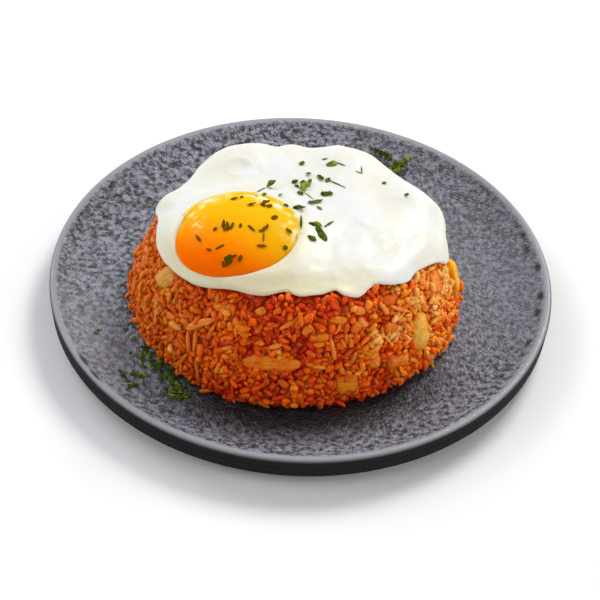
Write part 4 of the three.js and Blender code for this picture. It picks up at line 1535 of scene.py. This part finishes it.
def flakes(rows, surface, dice):
    """Leaves and stems laid on a surface, the leaves tilted a little out of it, with their marks."""
    x, y, length_of, width_of = rows[:, :4].T * MM
    centre, flat, out = lie_on(surface, x, y, np.radians(rows[:, 4]))
    tilt = np.abs(dice.normal(0, 0.22, len(rows))) * (width_of > 1.1 * MM)
    along = np.cos(tilt)[:, None] * flat + np.sin(tilt)[:, None] * out
    side = unit(np.cross(out, along))
    axes = np.stack([along, side, np.cross(along, side)], axis=1)
    raised = centre + out * (0.2 * MM + 0.5 * length_of * np.sin(tilt) * 0.9)[:, None]
    starts, rings, ends = flake_shapes(dice, length_of, width_of)
    shapes = (starts[:, None], rings, ends[:, None])
    starts, rings, ends = (carried(shape, raised, axes) for shape in shapes)
    points, faces = skin(starts[:, 0], rings, ends[:, 0])
    on_yolk = np.hypot(x - YOLK_CENTRE[0], y - YOLK_CENTRE[1]) < 22 * MM
    each = len(points) // len(rows)
    return points, faces, {"tint": np.repeat(rows[:, 5], each), "warm": np.repeat(0.9 * on_yolk, each)}


def make_flakes(settings, egg):
    """Chopped herb on the egg and on the plate, each flake lying on what is under it."""
    dice = np.random.default_rng(23)
    material = leaf_material(settings)
    on_egg = np.array(EGG_LEAVES + EGG_STEMS, dtype=float)
    on_plate = np.concatenate([cluster_places(PLATE_HERBS, dice), np.array(PLATE_STEMS, dtype=float)])
    surfaces = (
        ("herb_flakes_on_egg", on_egg, functools.partial(egg_top, egg)),
        ("herb_flakes_on_plate", on_plate, plate_top),
    )
    for name, rows, surface in surfaces:
        points, faces, marks = flakes(rows, surface, dice)
        build_piece(name, points, faces, material, "leaf", marks)


def leaflet(centre, heading, slope, lean, radius, lobes, seed):
    """A ruffled leaf: rings out to a lobed, toothed edge on top and back underneath, cupped and waved."""
    angle = steps_round(72)
    notches, teeth = (0.5 - 0.5 * np.cos(waves * angle) for waves in (lobes, 4 * lobes))
    reach = radius * (1 - 0.3 * notches - 0.07 * teeth)
    share = np.array([0.12, 0.3, 0.5, 0.7, 0.86, 0.97, 1.0, 0.97, 0.8, 0.5, 0.2])[:, None]
    face = np.array([1, 1, 1, 1, 1, 0.8, 0, -0.8, -1, -1, -1])[:, None] * LEAF_HALF * MM
    fold = 0.28 * share**1.5 * radius * np.sin(lobes * angle + seed)
    ruffle = 0.14 * share**2 * radius * np.sin(3.0 * lobes * angle + 2 * seed)
    up = face + fold + ruffle + 0.25 * share**2 * radius
    parts = np.broadcast_arrays(reach * share * np.cos(angle), reach * share * np.sin(angle), up)
    start, end = (np.array([[0, 0, side * LEAF_HALF * MM]]) for side in (1, -1))
    turns = (Matrix.Rotation(turn, 3, axis) for turn, axis in ((heading, "Z"), (slope, "Y"), (lean, "X")))
    turned = np.array(functools.reduce(operator.matmul, turns))
    start, rings, end = (centre + part @ turned.T for part in (start, np.stack(parts, axis=-1), end))
    return start, rings[None], end


# Parsley leaves behind the mound, in mm and degrees: node, (x, y, z), heading, slope, lean, radius, lobes.
PARSLEY = (
    ("parsley_leaf_front", (38.8, 72.8, 10.2), 20, -10, 12, 3.6, 5),
    ("parsley_leaf_front", (41.3, 74.2, 10.8), 110, 10, 14, 3.0, 5),
    ("parsley_leaf_front", (43.6, 76.2, 12.4), 150, 16, 12, 2.2, 4),
    ("parsley_leaf_back", (35.4, 78.8, 10.4), 40, -10, 8, 2.0, 5),
    ("parsley_leaf_back", (33.2, 80.4, 10.7), 110, 14, -8, 2.2, 4),
    ("parsley_leaf_back", (30.8, 82.2, 10.9), 70, 8, 10, 2.0, 5),
    ("parsley_leaf_back", (28.6, 83.4, 10.9), 20, 6, -10, 1.7, 4),
)


def make_parsley(settings):
    """The sprig behind the mound, as ruffled leaves lying on the plate's slope."""
    material = leaf_material(settings)
    for node in ("parsley_leaf_back", "parsley_leaf_front"):
        parts = [
            leaflet(np.array(row[1]) * MM, *np.radians(row[2:5]), row[5] * MM, row[6], number)
            for number, row in enumerate(PARSLEY) if row[0] == node
        ]
        starts, rings, ends = (np.concatenate(part) for part in zip(*parts))
        points, faces = skin(starts, rings, ends)
        fresh = 0.6 if node == "parsley_leaf_front" else -0.1
        tint = np.clip(fresh + 0.5 * lattice_noise(points, 4 * MM, seed=51), 0, 1)
        piece = build_piece(node + "_ruffled", points, faces, material, "leaf", {"tint": tint})
        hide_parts(node)


# ---- The stage ----------------------------------------------------------------------------------

# Soft square lamps: name, place and width in metres, power in watts, and colour.
LAMPS = (
    ("key", (0.5, 0.8, 0.95), 0.5, 13, (1.0, 0.98, 0.95)),
    ("window", (-1.0, 1.0, 0.9), 0.9, 10, (0.9, 0.95, 1.0)),
    ("side", (1.2, -0.45, 0.42), 0.8, 7.2, (1.0, 0.98, 0.95)),
    ("fill", (-1.2, -0.35, 0.7), 0.9, 6.4, (1.0, 0.99, 0.97)),
)
FLOOR_WIDTH = 6.0
LAMP_TARGET = Vector((0, 0, 0.02))
CAMERA_TARGET = Vector((0, -15.37 * MM, 12 * MM))


def make_floor(settings):
    """A wide pale square at the plate's foot."""
    mesh = bpy.data.meshes.new("floor")
    half = FLOOR_WIDTH / 2
    corners = [(-half, -half, 0), (half, -half, 0), (half, half, 0), (-half, half, 0)]
    mesh.from_pydata(corners, [], [(0, 1, 2, 3)])
    material, _, _ = shader_material("pale floor", Base_Color=tuple(settings.floor), Roughness=0.9)
    mesh.materials.append(material)
    floor = link_new("floor", mesh)
    floor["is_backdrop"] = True


def make_light(settings):
    """Soft light from all round, and the lamps aimed at the food."""
    world = bpy.data.worlds.new("soft room")
    world.use_nodes = True
    background = world.node_tree.nodes["Background"]
    background.inputs["Color"].default_value = (*settings.room, 1.0)
    background.inputs["Strength"].default_value = settings.room_strength
    bpy.context.scene.world = world
    for name, place, size, power, tint in LAMPS:
        data = bpy.data.lights.new(name, "AREA")
        data.shape, data.size, data.energy, data.color = "SQUARE", size, power, tint
        lamp = link_new(name, data)
        lamp.location = place
        lamp.rotation_euler = (LAMP_TARGET - Vector(place)).to_track_quat("-Z", "Y").to_euler()


def make_camera(settings):
    """The camera, back from its target along its elevation and turned by its roll."""
    sine, cosine = math.sin(settings.elevation), math.cos(settings.elevation)
    right, up, back = Vector((1, 0, 0)), Vector((0, sine, cosine)), Vector((0, -cosine, sine))
    across = right * math.cos(settings.roll) + up * math.sin(settings.roll)
    upward = up * math.cos(settings.roll) - right * math.sin(settings.roll)
    data = bpy.data.cameras.new("camera")
    data.sensor_width, data.lens, data.clip_end = 36, settings.lens, 10
    camera = link_new("camera", data)
    turned = Matrix((across, upward, back)).transposed().to_4x4()
    camera.matrix_world = Matrix.Translation(CAMERA_TARGET + back * settings.distance) @ turned
    bpy.context.scene.camera = camera


def make_stage(settings):
    """A pale floor, soft light, and the camera looking down at the plate."""
    make_floor(settings)
    make_light(settings)
    make_camera(settings)
    bpy.context.scene.view_settings.view_transform = "Standard"


# ---- Operators, panel and registration ----------------------------------------------------------


class FRIEDRICE_OT_plate(Operator):
    """Make the stoneware plate"""

    bl_idname = "fried_rice.plate"
    bl_label = "Plate"

    def execute(self, context):
        make_plate(context.scene.fried_rice.plate)
        return {"FINISHED"}


class FRIEDRICE_OT_core(Operator):
    """Make the pressed rice inside the mound"""

    bl_idname = "fried_rice.core"
    bl_label = "Rice core"

    def execute(self, context):
        make_rice_core(context.scene.fried_rice.rice)
        return {"FINISHED"}


class FRIEDRICE_OT_vegetables(Operator):
    """Make the kimchi, cabbage and onion at the side of the mound"""

    bl_idname = "fried_rice.vegetables"
    bl_label = "Vegetables"

    def execute(self, context):
        make_vegetables(context.scene.fried_rice.garnish)
        return {"FINISHED"}


class FRIEDRICE_OT_grains(Operator):
    """Pack separate grains, shreds and bits round the core"""

    bl_idname = "fried_rice.grains"
    bl_label = "Rice grains"

    def execute(self, context):
        settings = context.scene.fried_rice
        make_grains(settings.rice, settings.garnish)
        return {"FINISHED"}


class FRIEDRICE_OT_egg(Operator):
    """Make the fried egg's white and yolk"""

    bl_idname = "fried_rice.egg"
    bl_label = "Fried egg"

    def execute(self, context):
        make_white(context.scene.fried_rice.egg)
        make_yolk(context.scene.fried_rice.egg)
        return {"FINISHED"}


class FRIEDRICE_OT_herbs(Operator):
    """Scatter the chopped herb and lay the parsley"""

    bl_idname = "fried_rice.herbs"
    bl_label = "Herbs"

    def execute(self, context):
        settings = context.scene.fried_rice
        make_flakes(settings.garnish, settings.egg)
        make_parsley(settings.garnish)
        return {"FINISHED"}


class FRIEDRICE_OT_stage(Operator):
    """Set up the floor, the lamps and the camera"""

    bl_idname = "fried_rice.stage"
    bl_label = "Stage"

    def execute(self, context):
        make_stage(context.scene.fried_rice.stage)
        return {"FINISHED"}


STEPS = (
    FRIEDRICE_OT_plate, FRIEDRICE_OT_core, FRIEDRICE_OT_vegetables, FRIEDRICE_OT_grains,
    FRIEDRICE_OT_egg, FRIEDRICE_OT_herbs, FRIEDRICE_OT_stage,
)


class FRIEDRICE_PT_panel(Panel):
    """Lists the steps in order"""

    bl_label = "Fried Rice"
    bl_idname = "FRIEDRICE_PT_panel"
    bl_space_type = "VIEW_3D"
    bl_region_type = "UI"
    bl_category = "Fried Rice"

    def draw(self, context):
        for step in STEPS:
            self.layout.operator(step.bl_idname)


CLASSES = (
    PlateSettings, RiceSettings, EggSettings, GarnishSettings, StageSettings, FriedRiceSettings,
    *STEPS, FRIEDRICE_PT_panel,
)


def register():
    for item in CLASSES:
        bpy.utils.register_class(item)
    bpy.types.Scene.fried_rice = PointerProperty(type=FriedRiceSettings)


def unregister():
    del bpy.types.Scene.fried_rice
    for item in reversed(CLASSES):
        bpy.utils.unregister_class(item)


def main():
    register()
    for step in STEPS:
        group, name = step.bl_idname.split(".")
        getattr(getattr(bpy.ops, group), name)()
    bpy.context.view_layer.update()
    boxes = {"cad": CAD_BOX, "visual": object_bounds()}
    ({name: [[float(value) for value in corner] for corner in box]
         for name, box in boxes.items()})


if __name__ == "__main__":
    main()
